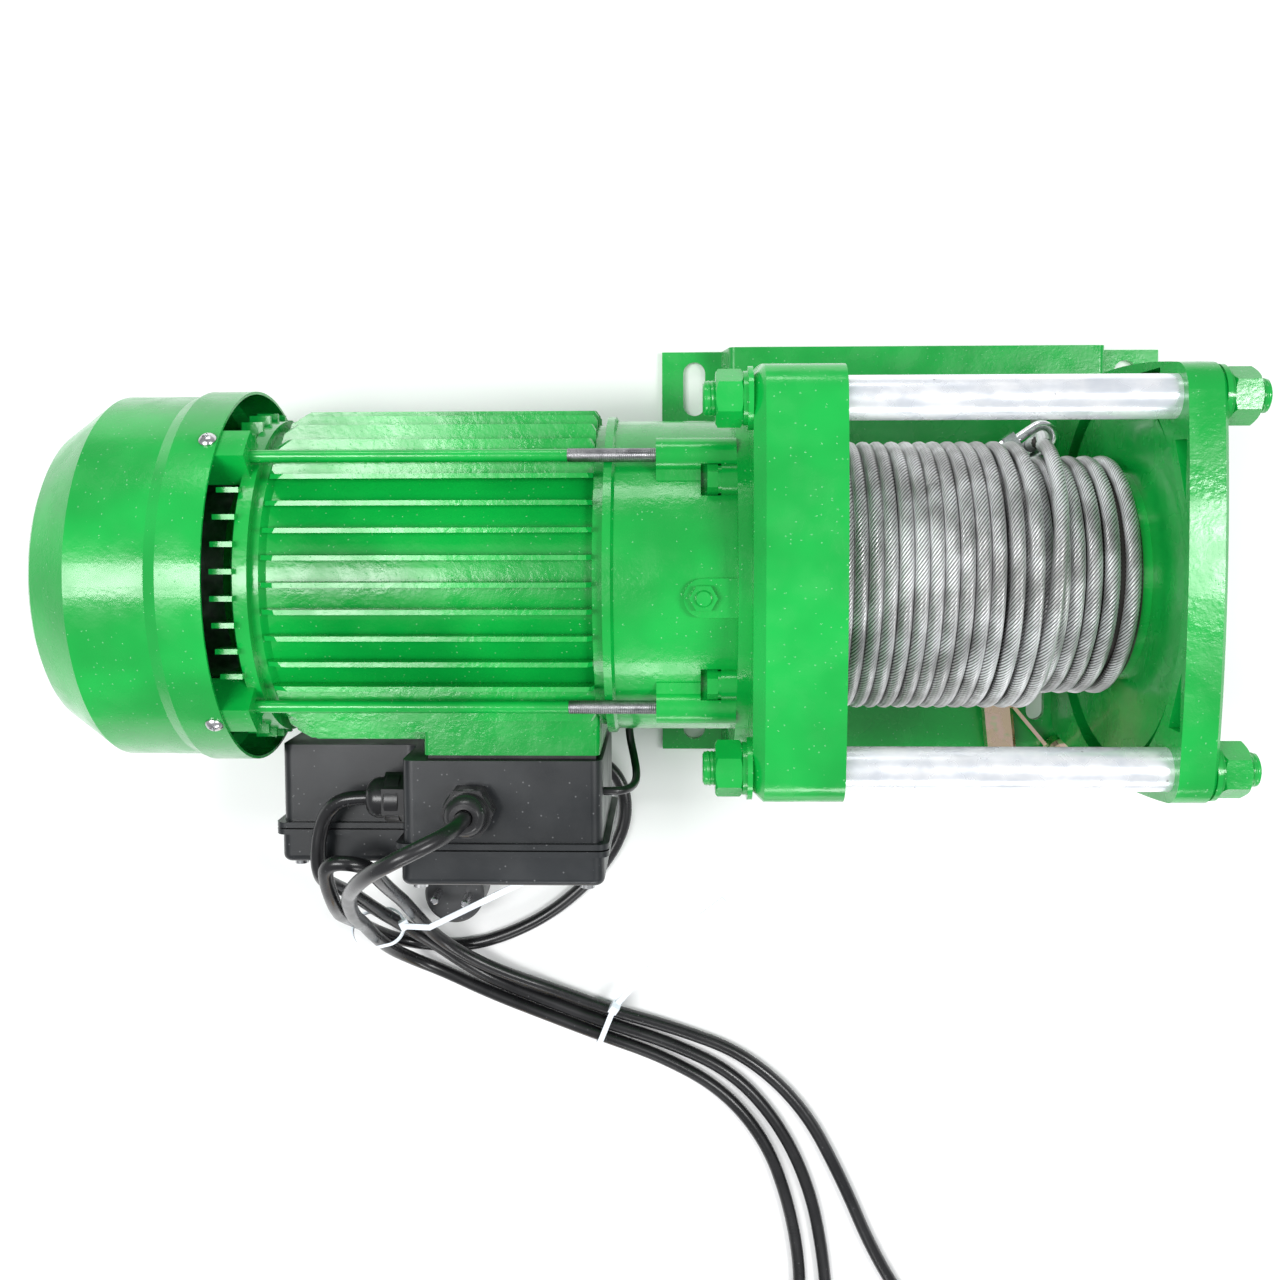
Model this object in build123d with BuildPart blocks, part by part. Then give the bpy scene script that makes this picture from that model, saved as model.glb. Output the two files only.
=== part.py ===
"""Electric wire rope winch: motor, two gear stages, rope drum, frame, terminal box and leads.

Millimetres, +Z up. The origin is the middle of the base plate's underside. The drum turns about
a line along X, and the motor is at its -X end.
"""

from build123d import *
from math import acos, asin, cos, degrees, hypot, pi, radians, sin, sqrt, tan
import os

os.makedirs("parts", exist_ok=True)

# Frame
axis_height = 138.0
axis_side = -7.2
casing_left = -112.0
casing_depth = 43.5
tube_length = 154.5
bracket_depth = 18.5
stud_half_pitch = 88.5
lug_radius = 16.0
side_bulge = 110.0
recess_radius = 104.0
recess_depth = 13.5
casing_chamfer = 5.5
chamber_radius = 77.5
web_thickness = 12.0
hub_radius = 21.0

# Tie studs, M16
stud_radius = 8.0
stud_stub = 6.0
tube_radius = 10.65
nut_across_flats = 24.0
nut_height = 13.0
washer_radius = 15.0
washer_thickness = 2.4
spring_washer_thickness = 2.1

# Base plate
base_length = 314.0
base_width = 256.0
base_sheet = 5.0
plateau_height = 32.0
plateau_half = 115.0
slot_x = 136.5
slot_y = 104.5
slot_length = 34.0
slot_width = 14.0
base_bolt_radius = 5.0
base_bolt_depth = 14.0
casing_bolt_side = 70.0
bracket_bolt_side = 75.0

# Motor
housing_length = 72.0
housing_radius = 83.2
housing_flange_radius = 95.0
housing_flange_thickness = 6.5
housing_wall_left = 14.0
stator_length = 173.0
stator_bore = 70.0
stator_barrel = 75.5
fin_tip_radius = 89.0
fin_pitch = 13.2
fin_thickness = 2.4
fins_each_side = 4
motor_bolt_side = 62.9
motor_bolt_radius = 3.25
motor_boss_radius = 8.4
motor_boss_length = 39.5
motor_bolt_grip = 18.0
flange_bolt_y = 50.5
flange_bolt_z = 70.0
flange_bolt_radius = 4.0
flange_bolt_flats = 13.0
flange_boss_height = 7.5
seat_width = 92.0
seat_half_height = 40.0
seat_reach = 92.0
seat_gap = 4.0
bell_depth = 14.0
cowl_radius = 100.0
cowl_sheet = 1.5
cowl_length = 94.5
cowl_band = 22.0
cowl_neck_radius = 97.3
cowl_step = 6.5
cowl_cone = 27.0
cowl_end_radius = 80.0
cowl_over_bell = 3.0
fan_radius = 86.0
fan_blades = 8

# Gears, twenty degree pressure angle
pressure_angle = radians(20.0)
gear_module = 1.25
rotor_teeth = 12
wheel_teeth = 54
lay_teeth = 14
ring_teeth = 80
backlash = 0.28
wheel_face = 22.0
ring_face = 24.0
centre_distance = gear_module * (rotor_teeth + wheel_teeth) / 2

# Drum and rope
rope_diameter = 7.7
rope_pitch = 7.8
core_radius = 56.4
flange_radius = 98.0
flange_thickness = 8.0
low_pack_radius = 64.0
full_pack_radius = 71.9
full_wraps = 14
pack_gap = 4.0
axle_radius = 12.5
bearing_radius = 26.0
bearing_width = 15.0
running_gap = 0.05
part_gap = 0.3

# Terminal box
box_wall = 2.5
box_left = -367.0
box_right = -186.5
box_step = -291.0
box_low = 76.0
box_middle = 138.0
box_high = 183.0
box_depth = 46.0
gasket_thickness = 2.0
rim_width = 3.5
rim_thickness = 3.0
seal_thickness = 0.8
box_corner = 6.0

# Leads
cord_diameter = 8.2
cord_radius = cord_diameter / 2
gland_flats = 24.0
coil_mean_radius = 45.0
coil_turns_wide = 2
plug_radius = 19.0
plug_height = 32.0
pin_radius = 2.4
pin_pitch = 19.0
pin_length = 19.0
lead_radius = 2.2

# Places that follow from the sizes
casing_right = casing_left + casing_depth
bracket_left = casing_right + tube_length
bracket_right = bracket_left + bracket_depth
housing_left = casing_left - housing_length
stator_left = housing_left - stator_length
bell_left = stator_left - bell_depth
cowl_rim = bell_left - cowl_over_bell
cowl_end = cowl_rim - cowl_length
foot_reach = axis_height - plateau_height
casing_web_left = casing_right - recess_depth - web_thickness
drum_left_face = casing_right - recess_depth + 2.0
drum_flange_right = drum_left_face + flange_thickness
right_flange_left = bracket_left + 3.0
drum_right_face = right_flange_left + flange_thickness
bracket_web = bracket_right - 6.0
washer_stack = washer_thickness + spring_washer_thickness
box_back = axis_side - seat_reach - gasket_thickness
box_front = box_back - box_depth

AXIS = Axis((0, axis_side, axis_height), (1, 0, 0))
AXIS_PLANE = Plane(origin=(0, axis_side, axis_height), x_dir=(1, 0, 0), z_dir=(0, -1, 0))
LAY_HEIGHT = axis_height - centre_distance
LAY_AXIS = Axis((0, axis_side, LAY_HEIGHT), (1, 0, 0))
LAY_PLANE = Plane(origin=(0, axis_side, LAY_HEIGHT), x_dir=(1, 0, 0), z_dir=(0, -1, 0))


def station(x, height=axis_height):
    """The plane across the winch at x: its first axis is +Y and its second is +Z."""
    return Plane(origin=(x, axis_side, height), x_dir=(0, 1, 0), z_dir=(1, 0, 0))


def box_plane(y):
    """The plane that faces -Y at y: its first axis is +X and its second is +Z."""
    return Plane(origin=(0, y, 0), x_dir=(1, 0, 0), z_dir=(0, -1, 0))


def turn(*points, mode=Mode.ADD, plane=AXIS_PLANE, axis=AXIS):
    """Adds the body that a closed profile of (x, radius) points sweeps about an axis."""
    with BuildSketch(plane) as profile:
        with BuildLine():
            Polyline(*points, close=True)
        make_face()
    revolve(profile.sketch, axis=axis, mode=mode)


def write(piece, name):
    """Labels a finished piece and writes its STEP file."""
    piece.label = name
    export_step(piece, f"parts/{name}.step")


def hexagon_radius(across_flats):
    """The corner radius of a hexagon from its size across flats."""
    return across_flats / sqrt(3)


def involute(angle):
    """The involute function of an angle in radians."""
    return tan(angle) - angle


def half_angle(radius, pitch_radius, half_width):
    """Half of the angle that a tooth spans at a radius, from its half width at the pitch circle."""
    base_radius = pitch_radius * cos(pressure_angle)
    here = acos(min(1.0, base_radius / radius))
    relief = 0.35 * max(0.0, base_radius - radius) / pitch_radius
    return half_width / pitch_radius + involute(pressure_angle) - involute(here) - relief


def on_circle(radius, angle):
    """A point from its polar place."""
    return (radius * cos(angle), radius * sin(angle))


def tooth_outline(teeth, low, high, half_width, turned_by=0.0):
    """Draws a closed toothed outline between two radii, with arcs for flanks, tips and roots."""
    pitch_radius = gear_module * teeth / 2
    step = 2 * pi / teeth
    middle_radius = (low + high) / 2
    at_low, at_middle, at_high = (
        half_angle(radius, pitch_radius, half_width) for radius in (low, middle_radius, high)
    )
    for tooth in range(teeth):
        centre = tooth * step + turned_by
        rise = [
            on_circle(low, centre - at_low),
            on_circle(middle_radius, centre - at_middle),
            on_circle(high, centre - at_high),
        ]
        fall = [
            on_circle(high, centre + at_high),
            on_circle(middle_radius, centre + at_middle),
            on_circle(low, centre + at_low),
        ]
        ThreePointArc(*rise)
        ThreePointArc(rise[2], on_circle(high, centre), fall[0])
        ThreePointArc(*fall)
        ThreePointArc(
            fall[2],
            on_circle(low, centre + step / 2),
            on_circle(low, centre + step - at_low),
        )


def bulge_end(across, along):
    """Where a side that is level at its middle runs into a lug, and the lug's centre is given."""
    slack = side_bulge - across
    radius = (along**2 + slack**2 - lug_radius**2) / (2 * (slack - lug_radius))
    reach = radius - lug_radius
    return (across + lug_radius * (radius - slack) / reach, along + lug_radius * along / reach)


def frame_outline():
    """Draws a casting's outline: a rounded lug at each corner, bulged sides and a flat foot."""
    pitch, diagonal = stud_half_pitch, lug_radius * sqrt(0.5)
    foot_lug = foot_reach - lug_radius
    far, near = bulge_end(pitch, pitch)
    low_far, low_near = bulge_end(pitch, foot_lug)
    for side in (-1, 1):
        TangentArc((0, side_bulge), (side * near, far), tangent=(side, 0))
        ThreePointArc(
            (side * near, far), (side * (pitch + diagonal), pitch + diagonal), (side * far, near)
        )
        TangentArc((side * side_bulge, 0), (side * far, near), tangent=(0, 1))
        TangentArc((side * side_bulge, 0), (side * low_far, -low_near), tangent=(0, -1))
        ThreePointArc(
            (side * low_far, -low_near),
            (side * (pitch + diagonal), -foot_lug - diagonal),
            (side * pitch, -foot_reach),
        )
    Line((-pitch, -foot_reach), (pitch, -foot_reach))


upper_studs = [(-stud_half_pitch, stud_half_pitch), (stud_half_pitch, stud_half_pitch)]
motor_corners = [
    (y * motor_bolt_side, z * motor_bolt_side) for y in (-1, 1) for z in (-1, 1)
]
flange_corners = [(y * flange_bolt_y, z * flange_bolt_z) for y in (-1, 1) for z in (-1, 1)]

# Base plate: a bent hat section with a slot at each corner
casing_bolt_x = casing_left + 12.0
bracket_bolt_x = bracket_left + bracket_depth / 2
base_bolt_places = [
    (x, axis_side + side * reach)
    for x, reach in ((casing_bolt_x, casing_bolt_side), (bracket_bolt_x, bracket_bolt_side))
    for side in (-1, 1)
]
wall_lean = 4.0
with BuildPart() as base_plate:
    with BuildSketch(Plane.XZ.offset(-base_width / 2)):
        with BuildLine():
            Polyline(
                (-base_length / 2, 0),
                (-base_length / 2, base_sheet),
                (-plateau_half - wall_lean, base_sheet),
                (-plateau_half, plateau_height),
                (plateau_half, plateau_height),
                (plateau_half + wall_lean, base_sheet),
                (base_length / 2, base_sheet),
                (base_length / 2, 0),
                (plateau_half + wall_lean - base_sheet, 0),
                (plateau_half - base_sheet, plateau_height - base_sheet),
                (-plateau_half + base_sheet, plateau_height - base_sheet),
                (-plateau_half - wall_lean + base_sheet, 0),
                close=True,
            )
        make_face()
    extrude(amount=base_width)
    fillet(
        base_plate.edges().filter_by(Axis.Y).filter_by_position(Axis.Z, plateau_height, plateau_height),
        base_sheet - 1,
    )
    with BuildSketch():
        with GridLocations(2 * slot_x, 2 * slot_y, 2, 2):
            SlotOverall(slot_length, slot_width, rotation=90)
    extrude(amount=base_sheet, mode=Mode.SUBTRACT)
    with BuildSketch(Plane.XY.offset(plateau_height)):
        with Locations(*base_bolt_places):
            Circle(base_bolt_radius + 0.4)
        with Locations((76.0, -93.0), (76.0, 79.0)):
            SlotOverall(22.0, 11.0, rotation=90)
    extrude(amount=-base_sheet, mode=Mode.SUBTRACT)
write(base_plate.part, "base_plate")

bolt_head_height = 6.4
bolt_play = 0.05
with BuildPart() as base_bolts:
    with BuildSketch(Plane.XY.offset(plateau_height - base_sheet - bolt_head_height)):
        with Locations(*base_bolt_places):
            RegularPolygon(hexagon_radius(16.0), 6)
    extrude(amount=bolt_head_height)
    with BuildSketch(Plane.XY.offset(plateau_height - base_sheet)):
        with Locations(*base_bolt_places):
            Circle(base_bolt_radius - bolt_play)
    extrude(amount=base_sheet + base_bolt_depth)
write(base_bolts.part, "base_bolts")

# Gear casing: a deep square casting, open to the gearbox and to the drum's flange
lay_bearing_radius = 16.0
lay_journal_radius = 7.5
with BuildPart() as gear_casing:
    with BuildSketch(station(casing_left)):
        with BuildLine():
            frame_outline()
        make_face()
    extrude(amount=casing_depth)
    chamfer(gear_casing.faces().sort_by(Axis.X)[0].edges(), casing_chamfer)
    with BuildSketch(station(casing_right)):
        Circle(recess_radius)
    extrude(amount=-recess_depth, mode=Mode.SUBTRACT)
    with BuildSketch(station(casing_left)):
        Circle(chamber_radius)
    extrude(amount=casing_web_left - casing_left, mode=Mode.SUBTRACT)
    turn(
        (casing_web_left - 4, axle_radius + running_gap),
        (casing_web_left - 4, hub_radius),
        (drum_flange_right, hub_radius),
        (drum_flange_right, axle_radius + running_gap),
    )
    turn(
        (casing_web_left - 4, 0),
        (casing_web_left - 4, axle_radius + running_gap),
        (drum_flange_right, axle_radius + running_gap),
        (drum_flange_right, 0),
        mode=Mode.SUBTRACT,
    )
    with BuildSketch(station(casing_web_left, LAY_HEIGHT)):
        Circle(lay_bearing_radius)
    extrude(amount=web_thickness, mode=Mode.SUBTRACT)
    with BuildSketch(station(casing_left)):
        with Locations(*upper_studs):
            Circle(stud_radius + 0.4)
    extrude(amount=casing_depth, mode=Mode.SUBTRACT)
    with BuildSketch(station(casing_left)):
        with Locations(*flange_corners):
            Circle(flange_bolt_radius)
    extrude(amount=14, mode=Mode.SUBTRACT)
    with BuildSketch(Plane.XY.offset(plateau_height)):
        with Locations(*base_bolt_places[:2]):
            Circle(base_bolt_radius)
    extrude(amount=base_bolt_depth + 2, mode=Mode.SUBTRACT)
write(gear_casing.part, "gear_casing")

# End bracket: a plate with a round recess for the drum's flange and pockets beside its lugs
bracket_recess_depth = bracket_web - bracket_left
pocket_side = side_bulge - 6.0
with BuildPart() as end_bracket:
    with BuildSketch(station(bracket_left)):
        with BuildLine():
            frame_outline()
        make_face()
    extrude(amount=bracket_depth)
    chamfer(end_bracket.faces().sort_by(Axis.X)[-1].edges(), 2.0)
    with BuildSketch(station(bracket_left)):
        Circle(recess_radius)
    extrude(amount=bracket_recess_depth, mode=Mode.SUBTRACT)
    with BuildSketch(station(bracket_left)):
        for side in (-1, 1):
            with BuildLine():
                Polyline(
                    (side * pocket_side, 40.0),
                    (side * pocket_side, 68.0),
                    (side * 89.5, 68.0),
                    close=True,
                )
            make_face()
            with BuildLine():
                Polyline(
                    (side * 40.0, pocket_side),
                    (side * 68.0, pocket_side),
                    (side * 68.0, 89.5),
                    close=True,
                )
            make_face()
    extrude(amount=bracket_recess_depth, mode=Mode.SUBTRACT)
    with BuildSketch(station(bracket_web)):
        Circle(hub_radius + 3)
    extrude(amount=16)
    with BuildSketch(station(bracket_web - 1)):
        Circle(axle_radius + running_gap)
    extrude(amount=20, mode=Mode.SUBTRACT)
    with BuildSketch(station(bracket_left)):
        with Locations(*upper_studs):
            Circle(stud_radius + 0.4)
    extrude(amount=bracket_depth, mode=Mode.SUBTRACT)
    with BuildSketch(Plane.XY.offset(plateau_height)):
        with Locations(*base_bolt_places[2:]):
            Circle(base_bolt_radius)
    extrude(amount=base_bolt_depth + 2, mode=Mode.SUBTRACT)
write(end_bracket.part, "end_bracket")

# Spacer tubes, studs, washers and nuts
with BuildPart() as spacer_tubes:
    with BuildSketch(station(casing_right)):
        with Locations(*upper_studs):
            Circle(tube_radius)
            Circle(stud_radius + 0.3, mode=Mode.SUBTRACT)
    extrude(amount=tube_length)
write(spacer_tubes.part, "spacer_tubes")

stud_left = casing_left - washer_stack - nut_height - stud_stub
stud_right = bracket_right + washer_stack + nut_height + stud_stub
with BuildPart() as tie_studs:
    with BuildSketch(station(stud_left)):
        with Locations(*upper_studs):
            Circle(stud_radius)
    extrude(amount=stud_right - stud_left)
    chamfer(tie_studs.edges().filter_by(GeomType.CIRCLE), 1.2)
write(tie_studs.part, "tie_studs")

with BuildPart() as tie_washers:
    for face, way in ((casing_left, -1), (bracket_right, 1)):
        with BuildSketch(station(face)):
            with Locations(*upper_studs):
                Circle(washer_radius)
                Circle(stud_radius + 0.4, mode=Mode.SUBTRACT)
        extrude(amount=way * washer_thickness)
    for face, way in ((casing_left - washer_thickness, -1), (bracket_right + washer_thickness, 1)):
        with BuildSketch(station(face)):
            with Locations(*upper_studs):
                Circle(washer_radius - 2.2)
                Circle(stud_radius + 0.3, mode=Mode.SUBTRACT)
            with Locations(*[(y, z - washer_radius + 3) for y, z in upper_studs]):
                Rectangle(1.4, 9.0, rotation=20, mode=Mode.SUBTRACT)
        extrude(amount=way * spring_washer_thickness)
write(tie_washers.part, "tie_washers")

with BuildPart() as hexagon_nut:
    with BuildSketch():
        RegularPolygon(hexagon_radius(nut_across_flats), 6)
    extrude(amount=nut_height)
    with BuildSketch(Plane.XZ):
        with BuildLine():
            Polyline(
                (0, 0),
                (nut_across_flats / 2, 0),
                (hexagon_radius(nut_across_flats), 1.2),
                (hexagon_radius(nut_across_flats), nut_height - 1.2),
                (nut_across_flats / 2, nut_height),
                (0, nut_height),
                close=True,
            )
        make_face()
    revolve(axis=Axis.Z, mode=Mode.INTERSECT)
    with BuildSketch():
        Circle(stud_radius + 0.02)
    extrude(amount=nut_height, mode=Mode.SUBTRACT)

nut_faces = (casing_left - washer_stack - nut_height, bracket_right + washer_stack)
with BuildPart() as tie_nuts:
    for face in nut_faces:
        for y, z in upper_studs:
            with Locations(station(face) * Location((y, z, 0))):
                add(hexagon_nut.part)
write(tie_nuts.part, "tie_nuts")

# Gearbox housing: first gear stage, and the motor's front shield
front_bearing_radius = 23.5
rotor_journal = 10.0
small_bearing_radius = 14.0
small_journal = 6.0
lay_pocket_depth = 9.0
breather_x = casing_left - 23.0
breather_side = -6.5
flange_head_x = casing_left - housing_flange_thickness - flange_boss_height
flange_pocket = 10.0
pad_radius = 9.5
pad_top = housing_radius + 3.0
chamber_left = housing_left + housing_wall_left
with BuildPart() as gearbox_housing:
    turn(
        (housing_left, 0),
        (housing_left, housing_radius + 2.2),
        (housing_left + 4, housing_radius + 2.2),
        (housing_left + 5.5, housing_radius),
        (casing_left - housing_flange_thickness, housing_radius),
        (casing_left - housing_flange_thickness, housing_flange_radius),
        (casing_left, housing_flange_radius),
        (casing_left, 0),
    )
    boss_left = casing_left - housing_flange_thickness - motor_boss_length
    with BuildSketch(station(boss_left)):
        with Locations(*motor_corners):
            Circle(motor_boss_radius)
        for y, z in motor_corners:
            with Locations((y * 0.93, z * 0.93)):
                Rectangle(2 * motor_boss_radius, 2 * motor_boss_radius)
    extrude(amount=motor_boss_length)
    with BuildSketch(station(casing_left - housing_flange_thickness - flange_boss_height)):
        with Locations(*flange_corners):
            Circle(flange_bolt_flats / 2 + 1.2)
    extrude(amount=flange_boss_height)
    with BuildSketch(Plane.XY.offset(axis_height)):
        with Locations((breather_x, axis_side + breather_side)):
            Circle(pad_radius)
        with Locations(((breather_x + casing_left) / 2, axis_side + breather_side)):
            Rectangle(casing_left - breather_x, 2 * pad_radius)
    extrude(amount=pad_top)
    turn(
        (chamber_left, 0),
        (chamber_left, chamber_radius),
        (casing_left, chamber_radius),
        (casing_left, 0),
        mode=Mode.SUBTRACT,
    )
    with BuildSketch(station(flange_head_x - flange_pocket)):
        with Locations(*flange_corners):
            Circle(flange_bolt_flats / 2 + 4)
        Circle(housing_radius - 1, mode=Mode.INTERSECT)
    extrude(amount=casing_left - flange_head_x + flange_pocket)
    with BuildSketch(station(flange_head_x)):
        with Locations(*flange_corners):
            Circle(flange_bolt_flats / 2 + 1.4)
    extrude(amount=-flange_pocket, mode=Mode.SUBTRACT)
    with BuildSketch(station(housing_left)):
        Circle(front_bearing_radius)
    extrude(amount=housing_wall_left, mode=Mode.SUBTRACT)
    with BuildSketch(station(chamber_left, LAY_HEIGHT)):
        Circle(small_bearing_radius)
    extrude(amount=-lay_pocket_depth, mode=Mode.SUBTRACT)
    with BuildSketch(station(boss_left)):
        with Locations(*motor_corners):
            Circle(motor_bolt_radius)
    extrude(amount=motor_bolt_grip, mode=Mode.SUBTRACT)
    with BuildSketch(station(casing_left)):
        with Locations(*flange_corners):
            Circle(flange_bolt_radius + 0.3)
    extrude(amount=-housing_flange_thickness - flange_boss_height, mode=Mode.SUBTRACT)
    with BuildSketch(Plane.XY.offset(axis_height + pad_top)):
        with Locations((breather_x, axis_side + breather_side)):
            Circle(4.0)
    extrude(amount=-20, mode=Mode.SUBTRACT)
write(gearbox_housing.part, "gearbox_housing")

with BuildPart() as breather_plug:
    with BuildSketch(Plane.XY.offset(axis_height + pad_top)):
        with Locations((breather_x, axis_side + breather_side)):
            RegularPolygon(hexagon_radius(12.0), 6)
    extrude(amount=4.0)
    with BuildSketch(Plane.XY.offset(axis_height + pad_top + 4.0)):
        with Locations((breather_x, axis_side + breather_side)):
            Circle(4.2)
    extrude(amount=2.2, taper=18)
    with BuildSketch(Plane.XY.offset(axis_height + pad_top)):
        with Locations((breather_x, axis_side + breather_side)):
            Circle(4.0 - bolt_play)
    extrude(amount=-7.0)
write(breather_plug.part, "breather_plug")

with BuildPart() as gearbox_bolts:
    with BuildSketch(station(flange_head_x)):
        with Locations(*flange_corners):
            Circle(flange_bolt_flats / 2 + 0.4)
    extrude(amount=-1.6)
    with BuildSketch(station(flange_head_x - 1.6)):
        with Locations(*flange_corners):
            RegularPolygon(hexagon_radius(flange_bolt_flats), 6)
    extrude(amount=-5.3)
    with BuildSketch(station(flange_head_x)):
        with Locations(*flange_corners):
            Circle(flange_bolt_radius - bolt_play)
    extrude(amount=housing_flange_thickness + flange_boss_height + 12)
write(gearbox_bolts.part, "gearbox_bolts")

# Stator housing: parallel fins in four groups, and the seat of the terminal box
seat_right = housing_left - seat_gap
seat_left = seat_right - seat_width
fin_left = stator_left + 4.0
fin_right = housing_left - 5.0
wire_hole_x = (seat_left + seat_right) / 2
wire_hole_radius = 10.0
seat_bolt_places = [
    (wire_hole_x + x * 32.0, axis_height + z * 26.0) for x in (-1, 1) for z in (-1, 1)
]
with BuildPart() as stator_housing:
    with BuildSketch(station(fin_left)):
        for fin in range(-fins_each_side, fins_each_side + 1):
            offset_by = fin * fin_pitch
            reach = 2 * sqrt(fin_tip_radius**2 - offset_by**2)
            with Locations((offset_by, 0)):
                Rectangle(fin_thickness, reach)
            with Locations((0, offset_by)):
                Rectangle(reach, fin_thickness)
    extrude(amount=fin_right - fin_left)
    turn(
        (fin_left, 0),
        (fin_left, fin_tip_radius - 12),
        (fin_left + 3.5, fin_tip_radius - 3.5),
        (fin_left + 12, fin_tip_radius + 1),
        (fin_right - 3, fin_tip_radius + 1),
        (fin_right, fin_tip_radius - 3),
        (fin_right, 0),
        mode=Mode.INTERSECT,
    )
    turn(
        (stator_left, 0),
        (stator_left, stator_barrel + 3),
        (fin_left, stator_barrel + 3),
        (fin_left + 3, stator_barrel),
        (fin_right, stator_barrel),
        (fin_right, stator_barrel + 5.5),
        (housing_left, stator_barrel + 5.5),
        (housing_left, 0),
    )
    with BuildSketch(station(seat_left)):
        with Locations((-(seat_reach + 40) / 2, 0)):
            Rectangle(seat_reach - 40, 2 * seat_half_height)
    extrude(amount=seat_width)
    fillet(
        stator_housing.edges().filter_by(Axis.Y).filter_by_position(
            Axis.Y, axis_side - seat_reach, axis_side - seat_reach + 12
        ),
        3.0,
    )
    with BuildSketch(station(stator_left)):
        Circle(stator_bore)
    extrude(amount=stator_length, mode=Mode.SUBTRACT)
    with BuildSketch(box_plane(axis_side)):
        with Locations((wire_hole_x, axis_height)):
            Circle(wire_hole_radius)
    extrude(amount=seat_reach, mode=Mode.SUBTRACT)
    with BuildSketch(box_plane(axis_side - seat_reach)):
        with Locations(*seat_bolt_places):
            Circle(2.5)
    extrude(amount=-12, mode=Mode.SUBTRACT)
write(stator_housing.part, "stator_housing")

# Rear end bell with its ribs and the four lugs that carry the cowl
lug_left = bell_left - 15.0
lug_right = bell_left + 11.0
hub_left = bell_left - 7.0
bell_hub_radius = 58.0
cowl_screw_x = cowl_rim - 5.0
cowl_inner = cowl_radius - cowl_sheet
lug_top = cowl_inner - 0.02
with BuildPart() as rear_end_bell:
    turn(
        (stator_left, 0),
        (stator_left, fin_tip_radius - 5),
        (stator_left - 7, fin_tip_radius - 5),
        (stator_left - 9, fin_tip_radius - 9),
        (stator_left - 9, bell_hub_radius),
        (hub_left, bell_hub_radius - 2),
        (hub_left, 0),
    )
    with BuildSketch(station(bell_left - 3)):
        for rib in (-3.5, -2.5, -1.5, -0.5, 0.5, 1.5, 2.5, 3.5):
            with Locations((rib * fin_pitch, 0)):
                Rectangle(2.6, 2 * sqrt((fin_tip_radius - 1) ** 2 - (rib * fin_pitch) ** 2))
            with Locations((0, rib * fin_pitch)):
                Rectangle(2 * sqrt((fin_tip_radius - 1) ** 2 - (rib * fin_pitch) ** 2), 2.6)
        Circle(bell_hub_radius - 1, mode=Mode.SUBTRACT)
    extrude(amount=11)
    with BuildSketch(station(lug_left)):
        with PolarLocations(0, 4, start_angle=45):
            with Locations((90.0, 0)):
                Rectangle(24.0, 18.0)
        Circle(lug_top, mode=Mode.INTERSECT)
    extrude(amount=lug_right - lug_left)
    with BuildSketch(station(lug_left)):
        with Locations(*motor_corners):
            Circle(motor_bolt_radius + 0.2)
    extrude(amount=lug_right - lug_left, mode=Mode.SUBTRACT)
    turn(
        (hub_left, 0),
        (hub_left, rotor_journal + 3),
        (bell_left - 3, rotor_journal + 3),
        (bell_left - 3, front_bearing_radius),
        (stator_left, front_bearing_radius),
        (stator_left, 0),
        mode=Mode.SUBTRACT,
    )
    for turned in (45, 135, 225, 315):
        screw_plane = Plane(
            origin=(cowl_screw_x, axis_side, axis_height),
            x_dir=(1, 0, 0),
            z_dir=(0, cos(radians(turned)), sin(radians(turned))),
        )
        with BuildSketch(screw_plane.offset(cowl_inner - 6.2)):
            Circle(2.0)
        extrude(amount=8, mode=Mode.SUBTRACT)
write(rear_end_bell.part, "rear_end_bell")

bolt_left = lug_left
with BuildPart() as motor_through_bolts:
    with BuildSketch(station(bolt_left)):
        with Locations(*motor_corners):
            RegularPolygon(hexagon_radius(10.0), 6)
    extrude(amount=-4)
    with BuildSketch(station(bolt_left)):
        with Locations(*motor_corners):
            Circle(motor_bolt_radius - bolt_play)
    extrude(amount=boss_left + motor_bolt_grip - 2 - bolt_left)
write(motor_through_bolts.part, "motor_through_bolts")

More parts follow.
